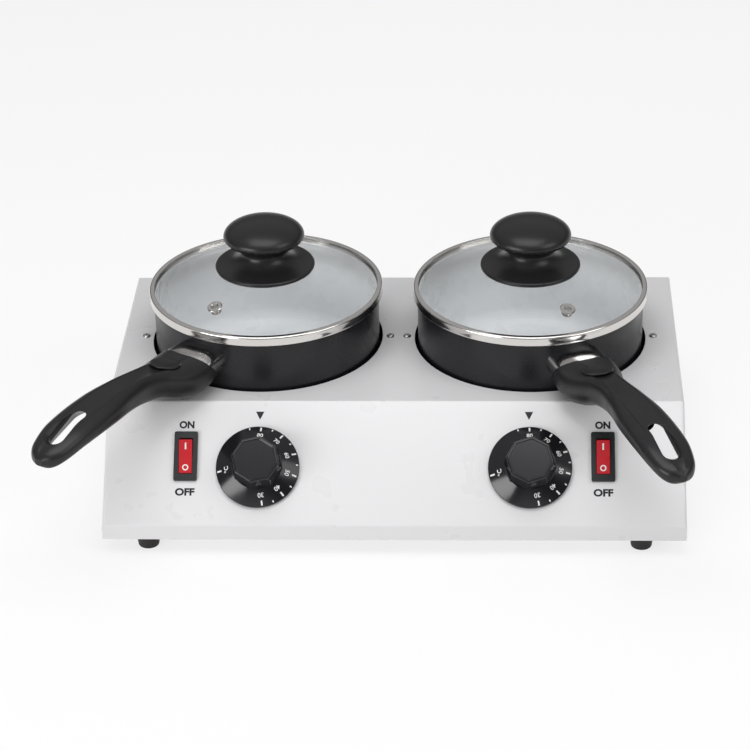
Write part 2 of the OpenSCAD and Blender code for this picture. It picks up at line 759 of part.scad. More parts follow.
// Bezel and box of a rocker switch, with a pocket and two bearings for the rocker
module switch_housing(side) color(black) on_panel(side * switch_x, switch_down) difference() {
    union() {
        linear_extrude(bezel_h) offset(bezel_corner_r)
            square([bezel_w - 2 * bezel_corner_r, bezel_len - 2 * bezel_corner_r], center = true);
        translate([-switch_body_w / 2, -switch_body_len / 2, -switch_body_h])
            cube([switch_body_w, switch_body_len, switch_body_h + bezel_h / 2]);
    }
    translate([-rocker_w / 2 - pocket_gap, -rocker_len / 2 - pocket_gap, bezel_h - pocket_deep])
        cube([rocker_w + 2 * pocket_gap, rocker_len + 2 * pocket_gap, pocket_deep + cut]);
    translate([0, 0, bezel_h - pivot_deep]) rotate([0, 90, 0])
        cylinder(r = pivot_r + fit, h = rocker_w + 2 * (pocket_gap + pivot_len), center = true);
}

// Rocker with a dished top, turned on its two stub axles to its rest position
module rocker(side) color("red") on_panel(side * switch_x, switch_down)
    translate([0, 0, bezel_h - pivot_deep]) rotate([rocker_rest, 0, 0]) {
        top = pivot_deep + rocker_crown;
        half = rocker_len / 2;
        depth = pocket_deep - pivot_deep - rocker_crown;
        intersection() {
            translate([-rocker_w / 2, 0, 0]) rotate([90, 0, 90]) linear_extrude(rocker_w) polygon([
                [-half, -depth / 3], [-half, top], [0, top - rocker_dip], [half, top], [half, -depth / 3],
                [half / 3, -depth], [-half / 3, -depth]]);
            rotate([0, 90, 0]) cylinder(r = half, h = rocker_w, center = true);
        }
        rotate([0, 90, 0]) cylinder(r = pivot_r, h = rocker_w + 2 * pivot_len, center = true);
    }

module switch_terminals() color(brass) for (side = [left, right], y = [-1, 0, 1])
    on_panel(side * switch_x, switch_down)
        translate([-blade_w / 2, y * blade_len - blade_t / 2, -switch_body_h - blade_len])
            cube([blade_w, blade_t, blade_len]);

// Gland in the rear wall for the mains lead
module cable_gland() color(black) translate([gland_x, back_y, gland_z]) rotate([-90, 0, 0]) difference() {
    union() {
        translate([0, 0, -gland_in]) cylinder(r = gland_r, h = gland_in + cut);
        cylinder(r = gland_flange_r, h = gland_flange_h);
        translate([0, 0, gland_flange_h]) cylinder(r1 = gland_flange_r - cut, r2 = gland_r, h = gland_out - gland_flange_h);
    }
    translate([0, 0, -gland_in - cut]) cylinder(r = gland_bore_d / 2, h = gland_in + gland_out + 2 * cut);
}

module cable_gland_nut() color(black) translate([gland_x, back_y - sheet_t - gland_hex_h, gland_z])
    rotate([-90, 0, 0]) nut(gland_hex_r, gland_hex_h, gland_r);

// Three-pole block on the base plate
module terminal_block() color([0.9, 0.9, 0.85]) translate([block_x, block_y, floor_z]) difference() {
    translate([-block_w / 2, -block_l / 2, 0]) cube([block_w, block_l, block_h]);
    for (i = [-1:1]) translate([i * (block_w - block_wall) / 3, 0, block_h / 2]) {
        rotate([90, 0, 0]) cylinder(r = block_wall, h = block_l + 2 * cut, center = true);
        for (y = [-1, 1]) translate([0, y * block_l / 4, 0]) cylinder(r = block_wall - touch, h = block_h);
    }
}

module earth_stud() color(brass) translate([earth_x, block_y, 0]) {
    mirror([0, 0, 1]) screw(earth_r, earth_h, screw_head_r, screw_head_h);
    translate([0, 0, floor_z]) nut(nut_r, nut_h, earth_r);
}

// Pressed pot with a rolled rim, a flare for the lid and a welded bracket for the handle
module pot(side) color(black) {
    inner_r = pot_r - pot_wall_t;
    inner_corner = pot_corner_r - pot_wall_t;
    rim_x = pot_rim_r - bead_r;
    at_well(side) rotate_extrude() polygon(concat(
        [[0, well_floor_z]],
        arc([pot_r - pot_corner_r, well_floor_z + pot_corner_r], pot_corner_r, -90, 0, corner_steps),
        [[pot_r, pot_top - flare_h]],
        arc([rim_x, pot_top - bead_r], bead_r, -90, 90, corner_steps),
        [[rim_x - bead_r, pot_top], [inner_r, pot_top - flare_h]],
        arc([inner_r - inner_corner, well_floor_z + pot_base_t + inner_corner], inner_corner, 0, -90, corner_steps),
        [[0, well_floor_z + pot_base_t]]));
    at_handle(side) difference() {
        translate([pot_r - pot_wall_t / 2, -bracket_w / 2, ferrule_z + bracket_rise - bracket_h / 2])
            cube([bracket_len, bracket_w, bracket_h]);
        on_bolt_axis() translate([0, 0, -bolt_far]) cylinder(r = bolt_r + fit, h = bolt_far);
        translate([-pot_r, -bracket_w, 0]) cube([2 * pot_r - pot_wall_t, 2 * bracket_w, ferrule_h + ferrule_z]);
    }
}

// The bolt's axis rises from the belly of the grip towards the pot
module on_bolt_axis() translate([bolt_x, 0, bolt_z]) rotate([0, 90 + bolt_tilt, 0]) children();

// Oval chrome sleeve between the pot's wall and the grip
module ferrule(side) color(steel) at_handle(side) difference() {
    ferrule_body(0);
    ferrule_body(ferrule_t);
    translate([0, 0, -ferrule_h]) cylinder(r = pot_r + fit, h = 4 * ferrule_h);
}

module ferrule_body(inset) hull() for (end = [0, 1]) let (
    w = (end == 0 ? ferrule_w * ferrule_neck_share : ferrule_w) - 2 * inset,
    h = ferrule_h - 2 * inset,
    x = end == 0 ? pot_r - ferrule_len : grip_start - fit)
    multmatrix([[1, 0, end * root_lean, x - end * root_lean * root_top], [0, 1, 0, 0], [0, 0, 1, 0]])
        translate([(2 * end - 1) * inset, 0, ferrule_z]) rotate([0, 90, 0]) rotate(90) mirror([0, 0, 1])
            linear_extrude(fit) oval(w, h);

module oval(w, h) polygon([for (i = [0:ferrule_sides - 1]) let (a = 360 * i / ferrule_sides)
    [w / 2 * rounded(cos(a)), h / 2 * rounded(sin(a))]]);

// Moves a sine or cosine towards a squarer oval
function rounded(v) = sign(v) * pow(abs(v), 2 / roundness);

// Smooth curve through the table of shares: the value in one column at a place along the grip
function share_at(u, column) = let (
    last = len(grip_shares) - 1,
    i = max([for (j = [0:last - 1]) grip_shares[j][0] <= u ? j : 0]),
    a = grip_shares[max(i - 1, 0)],
    b = grip_shares[i],
    c = grip_shares[i + 1],
    d = grip_shares[min(i + 2, last)],
    t = (u - b[0]) / (c[0] - b[0]),
    step = c[0] - b[0],
    slope_b = i == 0 ? (c[column] - b[column]) / step : (c[column] - a[column]) / (c[0] - a[0]),
    slope_c = i + 1 == last ? (c[column] - b[column]) / step : (d[column] - b[column]) / (d[0] - b[0]))
    (2 * pow(t, 3) - 3 * t * t + 1) * b[column] + (pow(t, 3) - 2 * t * t + t) * step * slope_b
    + (3 * t * t - 2 * pow(t, 3)) * c[column] + (pow(t, 3) - t * t) * step * slope_c;

// How far the grip's root leans towards the pot for each millimetre below its top
function lean_at(u) = root_lean * pow(max(0, 1 - u / root_share), 2);

// One cross-section of the grip: round below, with a shallow dished band along its top
function grip_ring(u) = let (
    x = grip_start + u * grip_len,
    lean = lean_at(u),
    top = share_at(u, 1) * ferrule_h,
    bottom = share_at(u, 2) * ferrule_h,
    half_w = share_at(u, 3) * grip_w / 2,
    flat = share_at(u, 4),
    middle = (top + bottom) / 2,
    half_h = (top - bottom) / 2,
    crease = asin(pow(flat, roundness / 2)),
    edge = half_w * rounded(cos(crease)))
    [for (p = concat(
        [for (i = [0:arc_steps]) let (a = crease - (180 + 2 * crease) * i / arc_steps)
            [half_w * rounded(cos(a)), middle + half_h * rounded(sin(a))]],
        [for (i = [1:flat_steps - 1]) let (q = -1 + 2 * i / flat_steps)
            [edge * q, middle + half_h * (flat - dish_share * (1 - q * q))]]))
        [x - lean * (root_top - p[1]), p[0], p[1]]];

// The grip's surface, lofted through its rings
module grip_body() loft([for (k = [0:grip_rings]) each grip_ring(k / grip_rings)],
    grip_rings, arc_steps + flat_steps);

// Oval pad, dished on top and drawn in below, that the thumb rests on
module thumb_pad() scale([pad_len_share, 1, 1]) rotate_extrude($fn = pad_sides) polygon(concat(
    [[0, -pad_deep], [pad_r / 2, -pad_deep], [pad_r - pad_edge_r, -2 * pad_edge_r]],
    arc([pad_r - pad_edge_r, -pad_edge_r], pad_edge_r, 0, 90, 3),
    [for (i = [4:-1:0]) let (r = (pad_r - 2 * pad_edge_r) * i / 5) [r, -pad_dish * (1 - pow(i / 5, 2))]]));

// Long hole square to the top of the grip, with a funnel round its mouth
module hanging_slot() {
    translate([0, 0, -2 * ferrule_h]) linear_extrude(3 * ferrule_h) slot_outline(0);
    hull() {
        translate([0, 0, -funnel_deep]) linear_extrude(fit) slot_outline(0);
        translate([0, 0, cut]) linear_extrude(fit) slot_outline(funnel_w);
    }
}

module slot_outline(grow) hull() for (end = [-1, 1])
    translate([end * (slot_len - slot_w) / 2, 0]) circle(r = slot_w / 2 + grow, $fn = slot_sides);

// Moulded grip with a thumb pad, a hanging slot and a pocket for the bolt in its belly
module handle(side) color(black) at_handle(side) difference() {
    union() {
        grip_body();
        translate([grip_start + pad_share * grip_len, 0, share_at(pad_share, 1) * ferrule_h + pad_lift])
            rotate([0, -pad_tilt, 0]) thumb_pad();
        on_bolt_axis() translate([0, 0, -boss_back]) cylinder(r = boss_r, h = boss_back + boss_len, $fn = pad_sides);
    }
    translate([tip_x, 0, share_at(1 - slot_from_tip / grip_len, 1) * ferrule_h]) rotate([0, slot_tilt, 0])
        hanging_slot();
    on_bolt_axis() {
        translate([0, 0, -bolt_far]) cylinder(r = bolt_r + touch, h = bolt_far + cut, $fn = slot_sides);
        cylinder(r = pocket_r, h = pocket_len + cut, $fn = pad_sides);
    }
}

module handle_bolt(side) color(steel) at_handle(side) on_bolt_axis() {
    translate([0, 0, -bolt_len]) cylinder(r = bolt_r, h = bolt_len + cut);
    translate([0, 0, fit]) difference() {
        cylinder(r = bolt_head_r, h = bolt_head_h);
        translate([0, 0, bolt_head_h / 2]) cube([2 * bolt_head_r + cut, sheet_t, bolt_head_h], center = true);
    }
}

// Domed glass with a flat rim, a hole in the middle and one for the eyelet
module lid_glass(side) color([0.8, 0.9, 0.9, 0.5]) at_well(side) difference() {
    rotate_extrude() polygon(concat(
        [[lid_hole_r, dome_height(lid_hole_r) - glass_t]],
        [for (i = [1:dome_steps]) let (r = dome_r * i / dome_steps) [r, dome_height(r) - glass_t]],
        [[glass_r, glass_z], [glass_r, dome_z]],
        [for (i = [dome_steps:-1:1]) let (r = dome_r * i / dome_steps) [r, dome_height(r)]],
        [[lid_hole_r, dome_height(lid_hole_r)]]));
    at_eyelet(side) cylinder(r = eyelet_in + eyelet_t + fit, h = 3 * glass_t, center = true);
}

// Places children on the dome's outer face at the eyelet, square to the glass
module at_eyelet(side) rotate(side == left ? left_eyelet_angle : right_eyelet_angle)
    translate([eyelet_r, 0, dome_height(eyelet_r)]) rotate([0, asin(eyelet_r / sphere_r), 0]) children();

// Steel band rolled round the edge of the glass, with a skirt that drops over the pot's rim
module lid_rim(side) color(steel) at_well(side) rotate_extrude() polygon(concat(
    [[lid_r - band_t, band_bottom], [lid_r, band_bottom]],
    arc([lid_r - band_round, dome_z + band_t + fit - band_round], band_round, 0, 90, corner_steps),
    [[lid_r - band_t - band_lip, dome_z + band_t + fit], [lid_r - band_t - band_lip, dome_z + fit],
     [glass_r + fit, dome_z + fit], [glass_r + fit, glass_z - fit],
     [lid_r - band_t - band_lip, glass_z - fit], [lid_r - band_t - band_lip, seat_z],
     [lid_r - band_t, seat_z]]));

// Mushroom knob: thin flared flange, concave neck and domed cap with a seam under its widest part
module lid_knob(side) color(black) at_well(side) difference() {
    rotate_extrude() polygon(concat(
        [[0, dome_height(0) + fit]],
        [for (i = [1:seat_steps]) let (r = knob_r * i / seat_steps) [r, dome_height(r) + fit]],
        arc([knob_r - flange_edge_r, knob_z + flange_edge_r], flange_edge_r, 0, 90, corner_steps),
        [for (p = neck_shares) [p[0] * cap_r, knob_z + p[1] * lid_knob_h]],
        [for (i = [1:cap_steps]) let (a = 90 * i / cap_steps)
            [cap_r * cos(a), knob_z + lid_knob_h * (cap_start_share + (1 - cap_start_share) * sin(a))]]));
    cylinder(r = lid_screw_r + fit, h = dome_height(0) + lid_screw_in + cut);
}

// Pan-head screw with its washer under the glass
module lid_screw(side) color(steel) at_well(side) {
    under = dome_height(0) - glass_t - fit;
    translate([0, 0, under - washer_t]) {
        mirror([0, 0, 1]) screw(lid_screw_r, glass_t + washer_t + lid_screw_in - cut, lid_head_r, lid_head_h);
        cylinder(r = washer_r, h = washer_t - touch);
    }
}

// Steel eyelet rolled over both faces of the glass
module steam_eyelet(side) color(steel) at_well(side) at_eyelet(side) rotate_extrude() polygon([
    [eyelet_in, -glass_t - eyelet_t - fit], [eyelet_out - eyelet_flare, -glass_t - eyelet_t - fit],
    [eyelet_out - eyelet_flare, -glass_t - fit], [eyelet_in + eyelet_t, -glass_t - fit],
    [eyelet_in + eyelet_t, eyelet_lift], [eyelet_out, eyelet_lift], [eyelet_out, eyelet_lift + eyelet_t],
    [eyelet_out - eyelet_t, eyelet_lift + 2 * eyelet_t], [eyelet_in + eyelet_t, eyelet_lift + 2 * eyelet_t],
    [eyelet_in, eyelet_lift + eyelet_t]]);

body_cover();
end_panel(left);  // left_end_panel
end_panel(right);  // right_end_panel
base_plate();
base_screws();
feet();
foot_screws();
foot_nuts();
well_screws();
well_nuts();
clamp_nuts();
thermostat_screws();
switch_terminals();
cable_gland();
cable_gland_nut();
terminal_block();
earth_stud();
for (s = [["left", left], ["right", right]]) {
    well(s[1]);
    heating_element(s[1]);
    clamp_plate(s[1]);
    insulation(s[1]);
    heat_shield(s[1]);
    thermal_cutout(s[1]);
    thermostat(s[1]);
    thermostat_bulb(s[1]);
    thermostat_spindle(s[1]);
    dial_knob(s[1]);
    switch_housing(s[1]);
    rocker(s[1]);
    pot(s[1]);
    ferrule(s[1]);
    handle(s[1]);
    handle_bolt(s[1]);
    lid_glass(s[1]);
    lid_rim(s[1]);
    lid_knob(s[1]);
    lid_screw(s[1]);
    steam_eyelet(s[1]);
}
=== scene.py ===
"""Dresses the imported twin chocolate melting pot: fine grips, dials, lids, marks and finishes."""

import json
import logging
import math
from collections.abc import Callable, Iterable, Sequence
from dataclasses import dataclass, field
from enum import Enum

import bmesh
import bpy
import numpy as np
from mathutils import Matrix, Vector

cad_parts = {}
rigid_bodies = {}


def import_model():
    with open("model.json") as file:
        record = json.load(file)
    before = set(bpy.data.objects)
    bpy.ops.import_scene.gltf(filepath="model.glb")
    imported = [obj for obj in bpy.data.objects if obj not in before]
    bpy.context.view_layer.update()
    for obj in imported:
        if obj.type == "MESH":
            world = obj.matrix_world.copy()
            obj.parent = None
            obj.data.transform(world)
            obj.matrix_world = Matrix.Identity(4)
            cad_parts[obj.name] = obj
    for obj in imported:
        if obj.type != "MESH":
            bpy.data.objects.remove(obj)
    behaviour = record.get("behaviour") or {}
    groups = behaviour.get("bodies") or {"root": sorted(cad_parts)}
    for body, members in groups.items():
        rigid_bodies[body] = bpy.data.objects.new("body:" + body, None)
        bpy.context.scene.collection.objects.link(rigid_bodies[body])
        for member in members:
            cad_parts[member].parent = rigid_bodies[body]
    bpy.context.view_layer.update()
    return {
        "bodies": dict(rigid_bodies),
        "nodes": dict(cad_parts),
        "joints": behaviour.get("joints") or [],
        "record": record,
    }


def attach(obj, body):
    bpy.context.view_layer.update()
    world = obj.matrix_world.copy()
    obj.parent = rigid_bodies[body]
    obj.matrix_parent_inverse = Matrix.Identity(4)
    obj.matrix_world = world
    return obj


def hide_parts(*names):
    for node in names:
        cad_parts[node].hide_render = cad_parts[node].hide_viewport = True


LOG = logging.getLogger("melting_pot")
MM = 0.001
DARK = 0.02  # colours below this are black plastic or paint, with a weaker shine
PAPER_SHARE = 0.72  # how much of the floor is plain white to the camera and in reflections

# Sizes in millimetres, as the part's source names them
BODY_D, BODY_H = 256.0, 73.0
SLOPE_RUN, LIP_H, FOOT_H = 64.0, 11.0, 12.0
FOLD_Y = SLOPE_RUN - BODY_D / 2
POT_X, POT_Y = 94.5, (FOLD_Y + BODY_D / 2) / 2
SLOPE_TILT = math.atan2(BODY_H - LIP_H, SLOPE_RUN)
POT_R, POT_WALL = 80.5, 1.6
WELL_FLOOR = BODY_H - 31.0
POT_TOP = WELL_FLOOR + 69.0
FERRULE_LEN, FERRULE_W, FERRULE_H, FERRULE_Z, FERRULE_T = 19.0, 41.0, 20.0, 20.5, 0.8
GRIP_START, GRIP_LEN, GRIP_W = POT_R + FERRULE_LEN, 156.0, 41.0
SLOT_W, SLOT_LEN, SLOT_FROM_TIP, SLOT_TILT = 11.0, 34.0, 30.0, 21.0
DIAL_X, DIAL_DOWN, DIAL_R, DIAL_GAP = 93.5, 48.0, 28.8, 0.8
DIAL_H, DIAL_GRIP_R, DIAL_EDGE, DIAL_SKIRT = 23.5, 18.5, 2.2, 8.0
SWITCH_X, SWITCH_DOWN, PIVOT_OUT, ROCKER_REST = 143.5, 40.0, -1.5, 9.0
LID_R, BAND_T, BAND_LIP, GLASS_T, DOME_RISE = 83.5, 0.5, 3.2, 3.5, 18.0
SEAT_Z = POT_TOP + 0.1
GLASS_R = LID_R - 2 * BAND_T
GLASS_Z = SEAT_Z + BAND_T + 0.05
DOME_R, DOME_Z = GLASS_R - 4.0, GLASS_Z + GLASS_T
SPHERE_R = (DOME_R**2 + DOME_RISE**2) / (2 * DOME_RISE)
SPHERE_Z = DOME_Z + DOME_RISE - SPHERE_R
KNOB_R, CAP_R, KNOB_H = 35.5, 28.8, 36.5
WELL_SCREW_R = 88.5
BOLT_TILT, BOLT_X, BOLT_Z = 40.0, GRIP_START + 4.8, FERRULE_Z - 12.1
POCKET_R, BOSS_R, BOSS_LEN = 4.6, 6.3, 8.0
ROOT_LEAN, ROOT_SHARE = 0.75, 0.25

# Along the grip, top, underside, width and flat of the top, in the source's shares
GRIP_SHARES = np.array([
    [0.0000, 1.56, 0.44, 1.04, 0.985],
    [0.0540, 1.56, 0.26, 1.07, 0.985],
    [0.1060, 1.59, 0.20, 1.02, 0.975],
    [0.1570, 1.68, 0.37, 0.86, 0.95],
    [0.2244, 1.82, 0.68, 0.65, 0.90],
    [0.3186, 1.97, 0.86, 0.56, 0.88],
    [0.4340, 2.05, 1.02, 0.64, 0.88],
    [0.5910, 2.02, 1.09, 0.80, 0.90],
    [0.8110, 1.82, 1.04, 0.81, 0.95],
    [0.9260, 1.56, 0.88, 0.66, 0.97],
    [0.9740, 1.40, 0.84, 0.45, 0.98],
    [1.0000, 1.22, 0.98, 0.14, 0.98],
])
ROOT_TOP = GRIP_SHARES[0, 1] * FERRULE_H
ROUNDNESS = 2.6


class Side(Enum):
    """The two halves of the machine: name, sign of X, direction of the grip, dial turn."""

    LEFT = ("left", -1, 238.4, 86.0)
    RIGHT = ("right", 1, 292.0, 90.7)

    def __init__(self, label: str, sign: int, grip: float, mark: float) -> None:
        self.label = label
        self.sign = sign
        self.grip_angle = grip
        self.mark_angle = mark

    def node(self, name: str) -> str:
        """Name of this side's CAD node or body.

        Args:
            name: The name without its side.

        Returns:
            The full name.
        """
        return f"{self.label}_{name}"


@dataclass(frozen=True)
class Place:
    """A local frame: an origin and three axes as rows, in millimetres."""

    origin: np.ndarray
    axes: np.ndarray

    def world(self, points: np.ndarray) -> np.ndarray:
        """Carries local points to the row's frame.

        Args:
            points: Local points, one to a row.

        Returns:
            The same points in the row's frame.
        """
        return self.origin + np.asarray(points, float) @ self.axes

    def moved(self, x: float = 0, y: float = 0, z: float = 0) -> "Place":
        """A copy whose origin is moved along its own axes.

        Args:
            x: Distance along the first axis.
            y: Distance along the second axis.
            z: Distance along the third axis.

        Returns:
            The moved frame.
        """
        return Place(self.world(np.array([[x, y, z]]))[0], self.axes)

    def turned(self, degrees: float, axis: str = "Z") -> "Place":
        """A copy turned about one of its own axes.

        Args:
            degrees: Angle, anticlockwise about the axis.
            axis: "X", "Y" or "Z".

        Returns:
            The turned frame.
        """
        turn = np.array(Matrix.Rotation(math.radians(degrees), 3, axis))
        return Place(self.origin, turn.T @ self.axes)


WORLD = Place(np.zeros(3), np.eye(3))


def on_panel(x: float, down: float, out: float = 0.0) -> Place:
    """A frame on the sloping panel: X along it, Y up it, Z out of it.

    Args:
        x: Distance from the middle of the panel.
        down: Distance down the slope from the fold.
        out: Distance out from the sheet.

    Returns:
        The frame.
    """
    base = Place(np.array([x, FOLD_Y, BODY_H]), np.eye(3)).turned(math.degrees(SLOPE_TILT), "X")
    return base.moved(y=-down, z=out)


def at_well(side: Side, z: float = 0.0) -> Place:
    """A frame on the axis of a pot.

    Args:
        side: Which pot.
        z: Height of its origin.

    Returns:
        The frame.
    """
    return Place(np.array([side.sign * POT_X, POT_Y, z]), np.eye(3))


def at_handle(side: Side) -> Place:
    """A frame whose X runs out along the grip.

    Args:
        side: Which pot.

    Returns:
        The frame, at the height of the body's top.
    """
    return at_well(side, BODY_H).turned(side.grip_angle)


def dome_height(r: float | np.ndarray) -> float | np.ndarray:
    """Height of the lid's outer face.

    Args:
        r: Distance from the lid's middle.

    Returns:
        The height above the base plate's underside.
    """
    return SPHERE_Z + np.sqrt(SPHERE_R**2 - np.square(r))


def arc(x: float, y: float, r: float, start: float, end: float, steps: int = 8) -> list[list[float]]:
    """Points along a circle.

    Args:
        x: First coordinate of the centre.
        y: Second coordinate of the centre.
        r: Radius.
        start: First angle in degrees.
        end: Last angle in degrees.
        steps: Number of chords.

    Returns:
        The points.
    """
    angles = np.radians(np.linspace(start, end, steps + 1))
    return [[x + r * math.cos(a), y + r * math.sin(a)] for a in angles]


def smooth_curve(points: Sequence[Sequence[float]], steps: int) -> np.ndarray:
    """A Catmull-Rom curve through points.

    Args:
        points: The points that the curve passes.
        steps: Number of steps between two of them.

    Returns:
        The points of the curve.
    """
    p = np.asarray(points, float)
    padded = np.vstack([2 * p[0] - p[1], p, 2 * p[-1] - p[-2]])
    t = np.linspace(0, 1, steps, endpoint=False)[:, None]
    parts = []
    for a, b, c, d in zip(padded, padded[1:], padded[2:], padded[3:]):
        parts.append(0.5 * (2 * b + (c - a) * t + (2 * a - 5 * b + 4 * c - d) * t**2
                            + (3 * b - a - 3 * c + d) * t**3))
    return np.vstack([*parts, p[-1:]])


@dataclass
class Shape:
    """Points and faces that grow as surfaces are added, all in the row's frame."""

    points: list[np.ndarray] = field(default_factory=list)
    faces: list[list[int]] = field(default_factory=list)
    count: int = 0

    def add(self, points: np.ndarray, faces: Iterable[Sequence[int]]) -> None:
        """Adds one surface.

        Args:
            points: Its points.
            faces: Its faces, counted from its own first point.
        """
        self.points.append(np.asarray(points, float))
        self.faces.extend([i + self.count for i in f] for f in faces)
        self.count += len(points)

    def loft(self, rings: np.ndarray, place: Place = WORLD, closed: bool = False) -> None:
        """Joins equal rings of points.

        Args:
            rings: Array of rings by points by three.
            place: Frame of the rings.
            closed: True if the last ring meets the first; otherwise both ends are capped.
        """
        n, m, _ = rings.shape
        faces = []
        for k in range(n if closed else n - 1):
            a, b = k * m, ((k + 1) % n) * m
            faces += [[a + i, a + (i + 1) % m, b + (i + 1) % m, b + i] for i in range(m)]
        if not closed:
            faces += [list(range(m - 1, -1, -1)), [(n - 1) * m + i for i in range(m)]]
        self.add(place.world(rings.reshape(-1, 3)), faces)

    def revolve(self, profile: Sequence[Sequence[float]], place: Place = WORLD, steps: int = 128,
                stretch: float = 1.0) -> None:
        """Turns a closed outline about the frame's Z.

        Args:
            profile: Distance from the axis and height of each corner.
            place: The frame.
            steps: Number of sides.
            stretch: Share of the radius kept along X.
        """
        p = np.asarray(profile, float)
        a = np.linspace(0, 2 * math.pi, steps, endpoint=False)
        rings = np.stack([
            stretch * np.outer(np.cos(a), p[:, 0]),
            np.outer(np.sin(a), p[:, 0]),
            np.tile(p[:, 1], (steps, 1)),
        ], axis=2)
        self.loft(rings, place, closed=True)

    def build(self, name: str, material: bpy.types.Material, sharp: float = 30.0) -> bpy.types.Object:
        """Makes the object.

        Args:
            name: Its name.
            material: Its finish.
            sharp: Edges that bend more than this many degrees stay sharp.

        Returns:
            The new object.
        """
        mesh = bpy.data.meshes.new(name)
        mesh.from_pydata((np.vstack(self.points) * MM).tolist(), [], self.faces)
        mesh.materials.append(material)
        obj = bpy.data.objects.new(name, mesh)
        bpy.context.collection.objects.link(obj)
        tidy_mesh(obj, sharp)
        return obj


def tidy_mesh(obj: bpy.types.Object, sharp: float) -> None:
    """Merges doubled points, turns the faces outwards and shades them smoothly.

    Args:
        obj: A mesh object.
        sharp: Edges that bend more than this many degrees stay sharp.
    """

    bm = bmesh.new()
    bm.from_mesh(obj.data)
    bmesh.ops.remove_doubles(bm, verts=bm.verts, dist=1e-6)
    bmesh.ops.dissolve_degenerate(bm, edges=bm.edges, dist=1e-7)
    bmesh.ops.recalc_face_normals(bm, faces=bm.faces)
    bm.to_mesh(obj.data)
    bm.free()
    obj.data.shade_smooth()
    obj.data.set_sharp_from_angle(angle=math.radians(sharp))


def cut_away(obj: bpy.types.Object, cutter: bpy.types.Object, sharp: float) -> None:
    """Takes one solid out of another and keeps the result.

    Args:
        obj: The piece that is cut.
        cutter: The solid that cuts it, which is then removed.
        sharp: Edges that bend more than this many degrees stay sharp.
    """
    cut = obj.modifiers.new("cut", "BOOLEAN")
    cut.operation = "DIFFERENCE"
    cut.solver = "EXACT"
    cut.object = cutter
    cut.use_self = True
    graph = bpy.context.evaluated_depsgraph_get()
    mesh = bpy.data.meshes.new_from_object(obj.evaluated_get(graph))
    obj.modifiers.clear()
    obj.data = mesh
    bpy.data.objects.remove(cutter)
    tidy_mesh(obj, sharp)


def placed(obj: bpy.types.Object, body: str, slot: str, *replaced: str) -> bpy.types.Object:
    """Puts a piece on its body.

    Args:
        obj: The piece.
        body: Body that carries it.
        slot: Name of a material slot of the record; not used.
        *replaced: CAD nodes that it stands for.

    Returns:
        The same piece.
    """
    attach(obj, body)
    if replaced:
        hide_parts(*replaced)
    return obj


